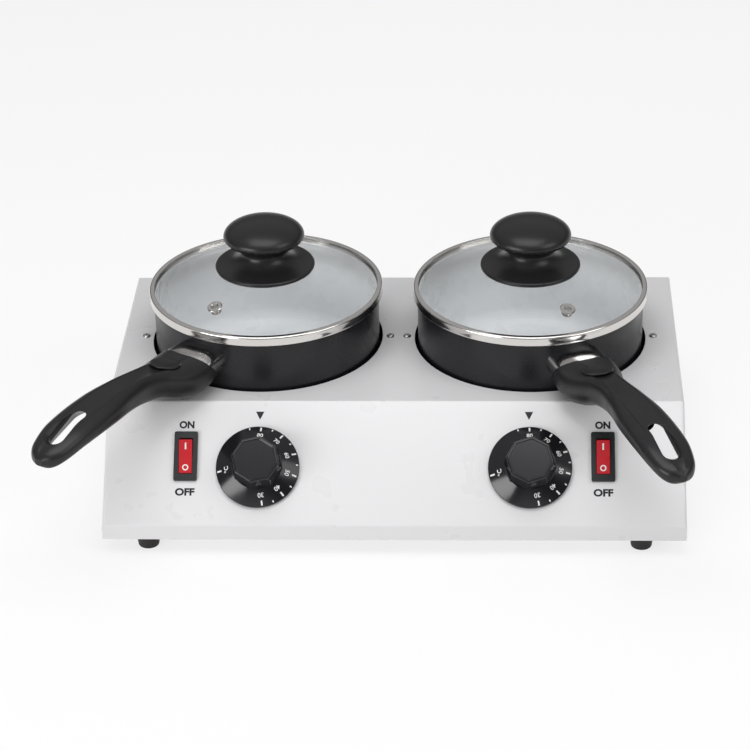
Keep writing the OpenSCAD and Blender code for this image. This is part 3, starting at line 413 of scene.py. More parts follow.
class Finishes:
    """The object's materials, each made once."""

    def __init__(self) -> None:
        self.enamel = self.plain("white_enamel", (0.69, 0.687, 0.695), 0.3, coat=0.25)
        self.bump(self.enamel, 420, 0.03, 0.0002)
        self.vary_roughness(self.enamel, 30, 0.26, 0.36)
        self.galvanised = self.plain("galvanised", (0.55, 0.56, 0.57), 0.42, metallic=1.0)
        self.vary_colour(self.galvanised, 90, (0.48, 0.49, 0.5), (0.64, 0.65, 0.66), cells=True)
        self.zinc = self.plain("zinc", (0.5, 0.5, 0.5), 0.34, metallic=1.0)
        self.vary_roughness(self.zinc, 400, 0.25, 0.45)
        self.rubber = self.plain("rubber", (0.018, 0.017, 0.016), 0.62)
        self.bump(self.rubber, 1500, 0.15, 0.0002)
        self.vary_colour(self.rubber, 60, (0.012, 0.012, 0.012), (0.03, 0.027, 0.025))
        self.well_steel = self.plain("well_steel", (0.52, 0.52, 0.53), 0.3, metallic=1.0)
        self.brushed(self.well_steel, 0.08)
        self.heater = self.plain("heater", (0.09, 0.085, 0.08), 0.5, metallic=0.8)
        self.vary_colour(self.heater, 120, (0.05, 0.05, 0.055), (0.15, 0.12, 0.1))
        self.wool = self.plain("wool", (0.7, 0.62, 0.42), 0.95)
        self.bump(self.wool, 700, 0.8, 0.001)
        self.brass = self.plain("brass", (0.62, 0.45, 0.18), 0.3, metallic=1.0)
        self.vary_roughness(self.brass, 300, 0.2, 0.4)
        self.moulding = self.plain("black_moulding", (0.03, 0.03, 0.031), 0.55)
        self.bump(self.moulding, 900, 0.12, 0.0002)
        self.pale_moulding = self.plain("pale_moulding", (0.72, 0.7, 0.64), 0.5)
        self.bump(self.pale_moulding, 900, 0.12, 0.0002)
        self.dial = self.plain("dial_plastic", (0.009, 0.009, 0.011), 0.16, coat=0.1)
        self.bump(self.dial, 260, 0.015, 0.0002)
        self.switch = self.plain("switch_plastic", (0.012, 0.013, 0.014), 0.35)
        self.bump(self.switch, 1100, 0.06, 0.0001)
        self.red = self.plain("rocker_red", (0.5, 0.006, 0.014), 0.2, coat=0.3)
        self.bump(self.red, 300, 0.02, 0.0002)
        self.grip = self.plain("grip_plastic", (0.012, 0.012, 0.013), 0.36)
        self.bump(self.grip, 1300, 0.09, 0.0001)
        self.vary_roughness(self.grip, 45, 0.29, 0.4)
        self.knob = self.plain("knob_plastic", (0.012, 0.012, 0.013), 0.32)
        self.bump(self.knob, 1300, 0.07, 0.0001)
        self.chrome = self.plain("chrome", (0.74, 0.73, 0.73), 0.1, metallic=1.0)
        self.vary_roughness(self.chrome, 120, 0.09, 0.18)
        self.band = self.plain("lid_steel", (0.66, 0.64, 0.62), 0.14, metallic=1.0)
        self.vary_roughness(self.band, 200, 0.1, 0.2)
        self.black_ink = self.plain("black_ink", (0.008, 0.008, 0.009), 0.5)
        self.bump(self.black_ink, 1500, 0.1, 0.0001)
        self.white_ink = self.plain("white_ink", (0.8, 0.8, 0.78), 0.5)
        self.bump(self.white_ink, 1500, 0.1, 0.0001)
        self.glass = self.clear_glass()
        self.pots = {side: self.two_tone_pot(side) for side in Side}

    def plain(self, name: str, colour: Sequence[float], roughness: float, metallic: float = 0.0,
              coat: float = 0.0) -> bpy.types.Material:
        """A material with one Principled shader.

        Args:
            name: Its name.
            colour: Base colour.
            roughness: Roughness.
            metallic: Metalness.
            coat: Weight of the clear coat.

        Returns:
            The material.
        """
        mat = bpy.data.materials.new(name)
        mat.use_nodes = True
        shader = self.shader(mat)
        shader.inputs["Base Color"].default_value = (*colour, 1.0)
        shader.inputs["Roughness"].default_value = roughness
        shader.inputs["Metallic"].default_value = metallic
        shader.inputs["Coat Weight"].default_value = coat
        shader.inputs["Coat Roughness"].default_value = 0.08
        if max(colour) < DARK:
            shader.inputs["Specular IOR Level"].default_value = 0.36
        return mat

    @staticmethod
    def shader(mat: bpy.types.Material) -> bpy.types.Node:
        """The material's Principled shader.

        Args:
            mat: The material.

        Returns:
            Its node.
        """
        return mat.node_tree.nodes["Principled BSDF"]

    @staticmethod
    def noise(mat: bpy.types.Material, scale: float, detail: float = 3.0) -> bpy.types.Node:
        """Noise in object coordinates.

        Args:
            mat: The material that gets it.
            scale: Size of the noise, in features per metre.
            detail: Number of octaves.

        Returns:
            The noise node.
        """
        nodes, links = mat.node_tree.nodes, mat.node_tree.links
        coords = nodes.new("ShaderNodeTexCoord")
        node = nodes.new("ShaderNodeTexNoise")
        node.inputs["Scale"].default_value = scale
        node.inputs["Detail"].default_value = detail
        links.new(coords.outputs["Object"], node.inputs["Vector"])
        return node

    def bump(self, mat: bpy.types.Material, scale: float, strength: float, distance: float) -> None:
        """Gives a material a fine uneven surface.

        Args:
            mat: The material.
            scale: Features per metre.
            strength: Strength of the bump.
            distance: Height of the bump in metres.
        """
        nodes, links = mat.node_tree.nodes, mat.node_tree.links
        node = nodes.new("ShaderNodeBump")
        node.inputs["Strength"].default_value = strength
        node.inputs["Distance"].default_value = distance
        links.new(self.noise(mat, scale).outputs["Fac"], node.inputs["Height"])
        links.new(node.outputs["Normal"], self.shader(mat).inputs["Normal"])

    def vary_roughness(self, mat: bpy.types.Material, scale: float, low: float, high: float) -> None:
        """Lets the roughness wander between two values.

        Args:
            mat: The material.
            scale: Features per metre.
            low: Lowest roughness.
            high: Highest roughness.
        """
        nodes, links = mat.node_tree.nodes, mat.node_tree.links
        node = nodes.new("ShaderNodeMapRange")
        node.inputs["From Min"].default_value = 0.3
        node.inputs["From Max"].default_value = 0.7
        node.inputs["To Min"].default_value = low
        node.inputs["To Max"].default_value = high
        links.new(self.noise(mat, scale).outputs["Fac"], node.inputs["Value"])
        links.new(node.outputs["Result"], self.shader(mat).inputs["Roughness"])

    def vary_colour(self, mat: bpy.types.Material, scale: float, low: Sequence[float],
                    high: Sequence[float], cells: bool = False) -> None:
        """Lets the colour wander between two colours.

        Args:
            mat: The material.
            scale: Features per metre.
            low: One colour.
            high: The other colour.
            cells: True for flat crystals, as on galvanised sheet.
        """
        nodes, links = mat.node_tree.nodes, mat.node_tree.links
        ramp = nodes.new("ShaderNodeValToRGB")
        ramp.color_ramp.elements[0].color = (*low, 1.0)
        ramp.color_ramp.elements[1].color = (*high, 1.0)
        if cells:
            coords = nodes.new("ShaderNodeTexCoord")
            source = nodes.new("ShaderNodeTexVoronoi")
            source.inputs["Scale"].default_value = scale
            links.new(coords.outputs["Object"], source.inputs["Vector"])
            links.new(source.outputs["Color"], ramp.inputs["Fac"])
        else:
            links.new(self.noise(mat, scale).outputs["Fac"], ramp.inputs["Fac"])
        links.new(ramp.outputs["Color"], self.shader(mat).inputs["Base Color"])

    def brushed(self, mat: bpy.types.Material, strength: float) -> None:
        """Gives a metal fine level lines, as from turning.

        Args:
            mat: The material.
            strength: Strength of the bump.
        """
        nodes, links = mat.node_tree.nodes, mat.node_tree.links
        coords = nodes.new("ShaderNodeTexCoord")
        stretch = nodes.new("ShaderNodeMapping")
        stretch.inputs["Scale"].default_value = (0.05, 0.05, 1.0)
        grain = nodes.new("ShaderNodeTexNoise")
        grain.inputs["Scale"].default_value = 2500
        bump = nodes.new("ShaderNodeBump")
        bump.inputs["Strength"].default_value = strength
        bump.inputs["Distance"].default_value = 0.0001
        links.new(coords.outputs["Object"], stretch.inputs["Vector"])
        links.new(stretch.outputs["Vector"], grain.inputs["Vector"])
        links.new(grain.outputs["Fac"], bump.inputs["Height"])
        links.new(bump.outputs["Normal"], self.shader(mat).inputs["Normal"])

    def clear_glass(self) -> bpy.types.Material:
        """Clear glass that lets the light through without bending it.

        Returns:
            The material.
        """
        mat = self.plain("lid_glass", (0.93, 0.95, 0.95), 0.02)
        nodes, links = mat.node_tree.nodes, mat.node_tree.links
        clear = nodes.new("ShaderNodeBsdfTransparent")
        clear.inputs["Color"].default_value = (0.985, 0.99, 0.99, 1.0)
        facing = nodes.new("ShaderNodeLayerWeight")
        shine = nodes.new("ShaderNodeMapRange")
        shine.inputs["From Min"].default_value = 0.4
        shine.inputs["To Min"].default_value = 0.03
        shine.inputs["To Max"].default_value = 0.3
        mix = nodes.new("ShaderNodeMixShader")
        gloss = nodes.new("ShaderNodeBsdfGlossy")
        gloss.inputs["Roughness"].default_value = 0.02
        links.new(facing.outputs["Facing"], shine.inputs["Value"])
        links.new(shine.outputs["Result"], mix.inputs["Fac"])
        links.new(clear.outputs["BSDF"], mix.inputs[1])
        links.new(gloss.outputs["BSDF"], mix.inputs[2])
        links.new(mix.outputs["Shader"], nodes["Material Output"].inputs["Surface"])
        nodes.remove(self.shader(mat))
        return mat

    def two_tone_pot(self, side: Side) -> bpy.types.Material:
        """Dark coating outside a pot and pale coating inside it.

        Args:
            side: Which pot.

        Returns:
            The material.
        """
        mat = self.plain(side.node("pot_coating"), (0.008, 0.008, 0.01), 0.3)
        nodes, links = mat.node_tree.nodes, mat.node_tree.links
        coords = nodes.new("ShaderNodeTexCoord")
        shift = nodes.new("ShaderNodeMapping")
        shift.inputs["Location"].default_value = (-side.sign * POT_X * MM, -POT_Y * MM, 0.0)
        flat = nodes.new("ShaderNodeMapping")
        flat.inputs["Scale"].default_value = (1.0, 1.0, 0.0)
        length = nodes.new("ShaderNodeVectorMath")
        length.operation = "LENGTH"
        split = nodes.new("ShaderNodeSeparateXYZ")
        within = nodes.new("ShaderNodeMath")
        within.operation = "LESS_THAN"
        within.inputs[1].default_value = (POT_R - POT_WALL / 2) * MM
        above = nodes.new("ShaderNodeMath")
        above.operation = "GREATER_THAN"
        above.inputs[1].default_value = (WELL_FLOOR + 1.5) * MM
        both = nodes.new("ShaderNodeMath")
        both.operation = "MULTIPLY"
        coats = nodes.new("ShaderNodeValToRGB")
        coats.color_ramp.interpolation = "CONSTANT"
        coats.color_ramp.elements[0].color = (0.008, 0.008, 0.01, 1.0)
        coats.color_ramp.elements[1].color = (0.86, 0.87, 0.88, 1.0)
        coats.color_ramp.elements[1].position = 0.5
        links.new(coords.outputs["Object"], shift.inputs["Vector"])
        links.new(shift.outputs["Vector"], flat.inputs["Vector"])
        links.new(flat.outputs["Vector"], length.inputs[0])
        links.new(length.outputs["Value"], within.inputs[0])
        links.new(coords.outputs["Object"], split.inputs["Vector"])
        links.new(split.outputs["Z"], above.inputs[0])
        links.new(within.outputs["Value"], both.inputs[0])
        links.new(above.outputs["Value"], both.inputs[1])
        links.new(both.outputs["Value"], coats.inputs["Fac"])
        links.new(coats.outputs["Color"], self.shader(mat).inputs["Base Color"])
        self.bump(mat, 1500, 0.05, 0.0001)
        self.vary_roughness(mat, 60, 0.24, 0.34)
        return mat


class Grip:
    """The moulded grip, its ferrule and its cuts, from the source's shares."""

    RINGS, ARC, FLAT, SHARP = 150, 84, 18, 16.0

    @staticmethod
    def share(u: float) -> np.ndarray:
        """Top, underside, width and flat at a place along the grip.

        Args:
            u: Share of the grip's length.

        Returns:
            The four shares.
        """
        t = GRIP_SHARES
        last = len(t) - 1
        i = max(j for j in range(last) if t[j, 0] <= u)
        a, b, c, d = t[max(i - 1, 0)], t[i], t[i + 1], t[min(i + 2, last)]
        step = c[0] - b[0]
        s = (u - b[0]) / step
        slope_b = (c - b) / step if i == 0 else (c - a) / (c[0] - a[0])
        slope_c = (c - b) / step if i + 1 == last else (d - b) / (d[0] - b[0])
        value = ((2 * s**3 - 3 * s * s + 1) * b + (s**3 - 2 * s * s + s) * step * slope_b
                 + (3 * s * s - 2 * s**3) * c + (s**3 - s * s) * step * slope_c)
        return value[1:]

    @staticmethod
    def rounded(v: np.ndarray) -> np.ndarray:
        """Moves a sine or cosine towards a squarer oval.

        Args:
            v: Sines or cosines.

        Returns:
            The changed values.
        """
        return np.sign(v) * np.abs(v) ** (2 / ROUNDNESS)

    def ring(self, u: float) -> np.ndarray:
        """One cross-section of the grip.

        Args:
            u: Share of the grip's length.

        Returns:
            Its points in the handle's frame.
        """
        top, bottom, width, flat = self.share(u)
        top, bottom, half_w = top * FERRULE_H, bottom * FERRULE_H, width * GRIP_W / 2
        middle, half_h = (top + bottom) / 2, (top - bottom) / 2
        crease = math.asin(min(flat ** (ROUNDNESS / 2), 1.0))
        a = crease - (math.pi + 2 * crease) * np.linspace(0, 1, self.ARC + 1)
        edge = half_w * float(self.rounded(np.array(math.cos(crease))))
        p = np.linspace(-1, 1, self.FLAT + 1)[1:-1]
        sunk = self.sunk_strip(u)
        y = np.concatenate([half_w * self.rounded(np.cos(a)), edge * p])
        z = np.concatenate([middle + half_h * self.rounded(np.sin(a)),
                            middle + half_h * (flat - 0.06 * (1 - p * p)) - sunk])
        lean = ROOT_LEAN * max(0.0, 1 - u / ROOT_SHARE) ** 2
        return np.stack([GRIP_START + u * GRIP_LEN - lean * (ROOT_TOP - z), y, z], axis=1)

    @staticmethod
    def sunk_strip(u: float) -> float:
        """How deep the band along the top is sunk.

        Args:
            u: Share of the grip's length.

        Returns:
            The depth in millimetres.
        """
        rise = min(1.0, max(0.0, (u - 0.13) / 0.05))
        fall = min(1.0, max(0.0, (0.80 - u) / 0.12))
        return 0.55 * rise * fall

    def make(self, side: Side, finish: bpy.types.Material) -> bpy.types.Object:
        """Makes one grip.

        Args:
            side: Which pot it is on.
            finish: Its material.

        Returns:
            The object.
        """
        place = at_handle(side)
        shape = Shape()
        steps = 1 - (1 - np.linspace(0, 1, self.RINGS + 1)) ** 1.35
        shape.loft(np.array([self.ring(min(u, 1.0)) for u in steps]), place)
        grip = shape.build(side.node("moulded_grip"), finish, self.SHARP)
        cut_away(grip, self.slot_cutter(place, finish), self.SHARP)
        cut_away(grip, self.pocket_cutter(place, finish), self.SHARP)
        pad = Shape()
        self.add_pad(pad, place)
        boss = place.moved(BOLT_X, 0, BOLT_Z).turned(90 + BOLT_TILT, "Y")
        ring = [[POCKET_R, 1], [BOSS_R, 1], *arc(BOSS_R - 0.5, BOSS_LEN - 0.5, 0.5, 0, 90, 5),
                [POCKET_R, BOSS_LEN]]
        pad.revolve(ring, boss, 64)
        pad_obj = pad.build(side.node("thumb_pad"), finish, 40)
        placed(pad_obj, side.node("pan"), "handle_plastic")
        return placed(grip, side.node("pan"), "handle_plastic", side.node("handle"))

    def slot_cutter(self, place: Place, finish: bpy.types.Material) -> bpy.types.Object:
        """The solid that makes the hanging slot, with a rounded funnel at its mouth.

        Args:
            place: The handle's frame.
            finish: Material of the cut faces.

        Returns:
            The cutter.
        """
        u = 1 - SLOT_FROM_TIP / GRIP_LEN
        top = float(self.share(u)[0]) * FERRULE_H
        frame = place.moved(GRIP_START + GRIP_LEN - SLOT_FROM_TIP, 0, top).turned(SLOT_TILT, "Y")
        rings = []
        for z, grow, back in [(-26, 12, 8), (-15.5, 5.7, 3.8), (-9, 1.8, 1.2), (-6, 0.1, 0), (-2.8, 0, 0),
                              (-1.8, 0.2, 0), (-0.9, 0.7, 0), (-0.2, 1.3, 0), (0.3, 1.9, 0), (4, 6, 0)]:
            half, r = (SLOT_LEN - SLOT_W) / 2, SLOT_W / 2 + grow
            ends = [(half + r * math.cos(a), r * math.sin(a)) for a in np.linspace(-math.pi / 2, math.pi / 2, 25)]
            ends += [(-x, -y) for x, y in ends]
            rings.append([[x - back, y, z] for x, y in ends])
        shape = Shape()
        shape.loft(np.array(rings), frame)
        return shape.build("slot_cutter", finish)

    def pocket_cutter(self, place: Place, finish: bpy.types.Material) -> bpy.types.Object:
        """The solid that makes the screw pocket in the belly.

        Args:
            place: The handle's frame.
            finish: Material of the cut faces.

        Returns:
            The cutter.
        """
        frame = place.moved(BOLT_X, 0, BOLT_Z).turned(90 + BOLT_TILT, "Y")
        shape = Shape()
        a = np.linspace(0, 2 * math.pi, 48, endpoint=False)
        rings = [np.stack([r * np.cos(a), r * np.sin(a), np.full_like(a, z)], axis=1)
                 for r, z in [(2.8, -24), (2.8, 0), (POCKET_R, 0.01), (POCKET_R, BOSS_LEN + 3)]]
        shape.loft(np.array(rings), frame)
        return shape.build("pocket_cutter", finish)

    def add_pad(self, shape: Shape, place: Place) -> None:
        """Adds the oval thumb pad.

        Args:
            shape: The shape that gets it.
            place: The handle's frame.
        """
        u, r, edge = 0.122, 10.8, 0.8
        z = float(self.share(u)[0]) * FERRULE_H + 0.8
        frame = place.moved(GRIP_START + u * GRIP_LEN, 0, z).turned(-12, "Y")
        dish = [[(r - 2 * edge) * i / 12, -1.0 * (1 - (i / 12) ** 2)] for i in range(12, -1, -1)]
        profile = [[0, -6], [r / 2, -6], [r - edge, -2 * edge], *arc(r - edge, -edge, edge, -10, 90, 6), *dish]
        shape.revolve(profile, frame, 96, 1.05)

    def ferrule(self, side: Side, finish: bpy.types.Material) -> bpy.types.Object:
        """Makes the chrome sleeve between the pot and the grip.

        Args:
            side: Which pot it is on.
            finish: Its material.

        Returns:
            The object.
        """
        a = np.linspace(0, 2 * math.pi, 96, endpoint=False)
        sections = []
        for inset in (0.0, FERRULE_T):
            for t in np.linspace(0, 1, 9):
                w = FERRULE_W * (0.975 + 0.025 * t) / 2 - inset
                h = FERRULE_H / 2 - inset
                y, z = w * self.rounded(np.cos(a)), FERRULE_Z + h * self.rounded(np.sin(a))
                start = np.sqrt((POT_R + 0.05) ** 2 - y**2)
                x = start + (GRIP_START - ROOT_LEAN * (ROOT_TOP - z) - start) * t
                sections.append(np.stack([x, y, z], axis=1))
        outer, inner = sections[:9], sections[9:]
        shape = Shape()
        shape.loft(np.array(outer + inner[::-1]), at_handle(side), closed=True)
        obj = shape.build(side.node("sleeve"), finish, 35)
        return placed(obj, side.node("pan"), "chrome", side.node("ferrule"))


class Lid:
    """A glass lid with its rim band and knob."""

    @staticmethod
    def glass(side: Side, finish: bpy.types.Material) -> bpy.types.Object:
        """Makes the domed glass.

        Args:
            side: Which pot it is on.
            finish: Its material.

        Returns:
            The object.
        """
        r = np.linspace(2.7, DOME_R, 60)
        top = np.stack([r, dome_height(r)], axis=1)
        under = np.stack([r, dome_height(r) - GLASS_T], axis=1)[::-1]
        profile = [*top, [GLASS_R - 0.8, DOME_Z], [GLASS_R, DOME_Z - 0.8], [GLASS_R, GLASS_Z], *under]
        shape = Shape()
        shape.revolve(profile, at_well(side), 192)
        dome = shape.build(side.node("dome"), finish)
        return placed(dome, side.node("lid"), "lid_glass", side.node("lid_glass"))

    @staticmethod
    def rim(side: Side, finish: bpy.types.Material) -> bpy.types.Object:
        """Makes the rolled steel band.

        Args:
            side: Which pot it is on.
            finish: Its material.

        Returns:
            The object.
        """
        top = DOME_Z + BAND_T + 0.05
        lip = LID_R - BAND_T - BAND_LIP
        bottom = SEAT_Z - 2.0
        profile = [
            [LID_R - BAND_T, bottom + 0.1], *arc(LID_R - BAND_T / 2, bottom + 0.3, BAND_T / 2, 180, 360, 6),
            [LID_R - 0.12, bottom + 1.4], [LID_R - 0.16, bottom + 3.0], [LID_R - 0.1, top - 2.2],
            *arc(LID_R - 1.5, top - 1.5, 1.5, 0, 90, 10), [lip + 0.5, top - 0.05],
            *arc(lip + 0.25, top - 0.3, 0.25, 90, 200, 5),
            [lip + 0.3, DOME_Z + 0.05], [GLASS_R + 0.05, DOME_Z + 0.05], [GLASS_R + 0.05, GLASS_Z - 0.05],
            [lip, GLASS_Z - 0.05], [lip, SEAT_Z], [LID_R - BAND_T, SEAT_Z],
        ]
        shape = Shape()
        shape.revolve(profile, at_well(side), 192)
        band = shape.build(side.node("rim_band"), finish)
        return placed(band, side.node("lid"), "lid_steel", side.node("lid_rim"))

    @staticmethod
    def knob(side: Side, finish: bpy.types.Material) -> bpy.types.Object:
        """Makes the mushroom knob.

        Args:
            side: Which pot it is on.
            finish: Its material.

        Returns:
            The object.
        """
        base = float(dome_height(KNOB_R))
        neck = smooth_curve([
            [KNOB_R - 1.4, base + 2.9], [0.97 * CAP_R, base + 0.115 * KNOB_H], [0.80 * CAP_R, base + 0.165 * KNOB_H],
            [0.67 * CAP_R, base + 0.245 * KNOB_H], [0.60 * CAP_R, base + 0.34 * KNOB_H],
            [0.61 * CAP_R, base + 0.42 * KNOB_H], [0.70 * CAP_R, base + 0.50 * KNOB_H],
            [0.84 * CAP_R, base + 0.56 * KNOB_H], [0.945 * CAP_R, base + 0.598 * KNOB_H]], 6)
        seam = [[0.955 * CAP_R, base + 0.605 * KNOB_H], [0.94 * CAP_R, base + 0.612 * KNOB_H],
                [0.94 * CAP_R, base + 0.622 * KNOB_H], [0.975 * CAP_R, base + 0.63 * KNOB_H],
                [0.995 * CAP_R, base + 0.648 * KNOB_H]]
        a = np.linspace(0, math.pi / 2, 28)
        cap = np.stack([CAP_R * np.cos(a), base + KNOB_H * (0.67 + 0.33 * np.sin(a))], axis=1)
        r = np.linspace(KNOB_R - 0.6, 2.6, 12)
        under = np.stack([r, dome_height(r) + 0.05], axis=1)[::-1]
        profile = [*under, *arc(KNOB_R - 1.5, base + 1.5, 1.5, -60, 80, 10), *neck, *seam, *cap[:-1],
                   [0, base + KNOB_H], [0, base + 0.5 * KNOB_H], [2.6, base + 0.5 * KNOB_H]]
        shape = Shape()
        shape.revolve(profile, at_well(side), 128)
        obj = shape.build(side.node("mushroom_knob"), finish, 32)
        return placed(obj, side.node("lid"), "knob_plastic", side.node("lid_knob"))


class Dial:
    """A thermostat dial: skirt, eight-sided grip and printed scale."""

    TURN, STEP, C_MARK = 34.5, 33.6, 102.5

    def __init__(self, side: Side) -> None:
        self.side = side
        self.place = on_panel(side.sign * DIAL_X, DIAL_DOWN, DIAL_GAP)
        self.height = DIAL_H - DIAL_GAP
        self.turn = self.TURN + (0 if side is Side.LEFT else 5.0)

    @staticmethod
    def octagon(r: float, corner: float, turn: float) -> np.ndarray:
        """An eight-sided ring with rounded corners.

        Args:
            r: Distance of its corners from the middle.
            corner: Radius of each corner.
            turn: Direction of the first corner in degrees.

        Returns:
            Its points in X and Y.
        """
        points = []
        for k in range(8):
            a = math.radians(turn + 45 * k)
            centre = (r - corner / math.cos(math.radians(22.5))) * np.array([math.cos(a), math.sin(a)])
            for b in np.radians(np.linspace(-22.5, 22.5, 5)):
                points.append(centre + corner * np.array([math.cos(a + b), math.sin(a + b)]))
        return np.array(points)

    def make(self, finish: bpy.types.Material, ink: bpy.types.Material) -> None:
        """Makes the dial and its marks.

        Args:
            finish: Material of the dial.
            ink: Material of the marks.
        """
        body = self.side.node("dial")
        shape = Shape()
        skirt = [[8.0, 0.4], [DIAL_R - 2.4, 0.4], [DIAL_R - 2.4, 0], *arc(DIAL_R - 0.3, 0.3, 0.3, -90, 0, 3),
                 *arc(DIAL_R - 0.45, DIAL_EDGE - 0.45, 0.45, 0, 62, 5),
                 [DIAL_GRIP_R - 1.0, DIAL_SKIRT + 0.4], [8.0, DIAL_SKIRT + 0.4]]
        shape.revolve(skirt, self.place, 160)
        top_r = DIAL_GRIP_R * 0.9
        sections = [(DIAL_GRIP_R + 0.25, DIAL_EDGE + 0.8), (top_r, self.height - 1.2)]
        sections += [(top_r - 1.2 * (1 - math.cos(t)), self.height - 1.2 + 1.2 * math.sin(t))
                     for t in np.radians([22, 45, 68, 90])]
        sections += [(top_r - 2.0, self.height - 0.02), (top_r - 2.5, self.height - 0.25),
                     (0.4, self.height - 0.25)]
        rings = [np.column_stack([self.octagon(r, min(1.1, r * 0.5), self.turn), np.full(40, z)])
                 for r, z in sections]
        shape.loft(np.array(rings), self.place)
        obj = shape.build(self.side.node("dial_body"), finish, 24)
        placed(obj, body, "dial_plastic", self.side.node("dial_knob"))
        self.scale(ink, body)

    def cone_place(self, angle: float, r: float) -> Place:
        """A frame on the skirt: X clockwise round it, Y outwards down it, Z out of it.

        Args:
            angle: Direction from the middle in degrees, anticlockwise.
            r: Distance from the middle.

        Returns:
            The frame.
        """
        fall = (DIAL_SKIRT - DIAL_EDGE) / (DIAL_R - DIAL_GRIP_R)
        z = DIAL_EDGE + (DIAL_R - r) * fall
        c, s = math.cos(math.radians(angle)), math.sin(math.radians(angle))
        out = np.array([c, s, -fall]) / math.hypot(1, fall)
        along = np.array([s, -c, 0.0])
        axes = np.array([along, out, np.cross(along, out)]) @ self.place.axes
        return Place(self.place.world(np.array([[r * c, r * s, z]]))[0], axes)

    def scale(self, ink: bpy.types.Material, body: str) -> None:
        """Makes the ticks, the numbers and the degree sign.

        Args:
            ink: Their material.
            body: The body that they turn with.
        """
        shape = Shape()
        start = self.side.mark_angle
        for i in range(-1, 11):
            long = i % 2 == 0
            self.tick(shape, start - self.STEP / 2 * i, long)
        self.tick(shape, start + self.C_MARK, True)
        placed(shape.build(self.side.node("dial_ticks"), ink), body, "dial_plastic")
        for i, text in enumerate(["80", "70", "60", "50", "40", "30"]):
            self.number(text, start - self.STEP * i, ink, body)
        self.number("°C", start + self.C_MARK, ink, body)

    def tick(self, shape: Shape, angle: float, long: bool) -> None:
        """Adds one tick to a shape.

        Args:
            shape: The shape.
            angle: Its direction in degrees.
            long: True for a full tick.
        """
        inner, outer = (0.855 if long else 0.92) * DIAL_R, 0.975 * DIAL_R
        half = 0.55 if long else 0.42
        frame = self.cone_place(angle, (inner + outer) / 2)
        add_box(shape, frame, half, (outer - inner) / 2, 0.06)

    def number(self, text: str, angle: float, ink: bpy.types.Material, body: str) -> None:
        """Prints one number on the skirt.

        Args:
            text: The number.
            angle: Its direction in degrees.
            ink: Its material.
            body: The body that it turns with.
        """
        name = f"{self.side.label}_mark_{'c' if 'C' in text else text}"
        obj = lettering(name, text, 4.6, self.cone_place(angle, 0.745 * DIAL_R), ink, spread=0.95)
        placed(obj, body, "dial_plastic")


def add_box(shape: Shape, place: Place, half_x: float, half_y: float, high: float) -> None:
    """Adds a thin slab with its underside just below the frame's origin.

    Args:
        shape: The shape that gets it.
        place: The frame.
        half_x: Half its width.
        half_y: Half its length.
        high: Its height.
    """
    ring = np.array([[-half_x, -half_y], [half_x, -half_y], [half_x, half_y], [-half_x, half_y]])
    shape.loft(np.array([np.column_stack([ring, np.full(4, z)]) for z in (-0.15, high)]), place)


def lettering(name: str, text: str, size: float, place: Place, ink: bpy.types.Material,
              spread: float = 1.0, bold: float = 0.12) -> bpy.types.Object:
    """Prints words on a surface as thin raised ink.

    Args:
        name: Name of the piece.
        text: What it says.
        size: Height of a line in millimetres.
        place: Frame of the words: X along them, Z out of the surface.
        ink: Their material.
        spread: Width of the letters against the plain ones.
        bold: Extra weight of the strokes in millimetres.

    Returns:
        The piece.
    """
    curve = bpy.data.curves.new(name, "FONT")
    curve.body = text
    curve.size = size
    curve.align_x, curve.align_y = "CENTER", "CENTER"
    curve.extrude = 0.05
    curve.offset = bold / 2
    curve.resolution_u = 4
    temp = bpy.data.objects.new(name + "_text", curve)
    bpy.context.collection.objects.link(temp)
    graph = bpy.context.evaluated_depsgraph_get()
    mesh = bpy.data.meshes.new_from_object(temp.evaluated_get(graph))
    bpy.data.objects.remove(temp)
    points = np.empty(len(mesh.vertices) * 3)
    mesh.vertices.foreach_get("co", points)
    local = points.reshape(-1, 3) * np.array([spread, 1.0, 1.0])
    local[:, :2] -= (local[:, :2].max(axis=0) + local[:, :2].min(axis=0)) / 2
    mesh.vertices.foreach_set("co", (place.world(local) * MM).ravel())
    mesh.update()
    mesh.materials.clear()
    mesh.materials.append(ink)
    obj = bpy.data.objects.new(name, mesh)
    bpy.context.collection.objects.link(obj)
    return obj


def panel_marks(finishes: Finishes) -> None:
    """Prints ON and OFF and the pointers on the panel, and the signs on the rockers.

    Args:
        finishes: The materials.
    """
    for side in Side:
        x = side.sign * SWITCH_X
        for text, down, spread in (("ON", 17.2, 0.96), ("OFF", 65.2, 1.1)):
            obj = lettering(side.node(f"word_{text.lower()}"), text, 6.9, on_panel(x, down), finishes.black_ink,
                            spread, bold=0.62)
            placed(obj, "housing", "white_enamel")
        shape = Shape()
        corners = np.array([[-2.9, 2.9], [0.0, -2.9], [2.9, 2.9]])
        frame = on_panel(side.sign * (DIAL_X - 0.6), 10.6)
        shape.loft(np.array([np.column_stack([corners, np.full(3, z)]) for z in (-0.1, 0.05)]), frame)
        placed(shape.build(side.node("pointer"), finishes.black_ink), "housing", "white_enamel")
        rocker_signs(side, finishes.white_ink)


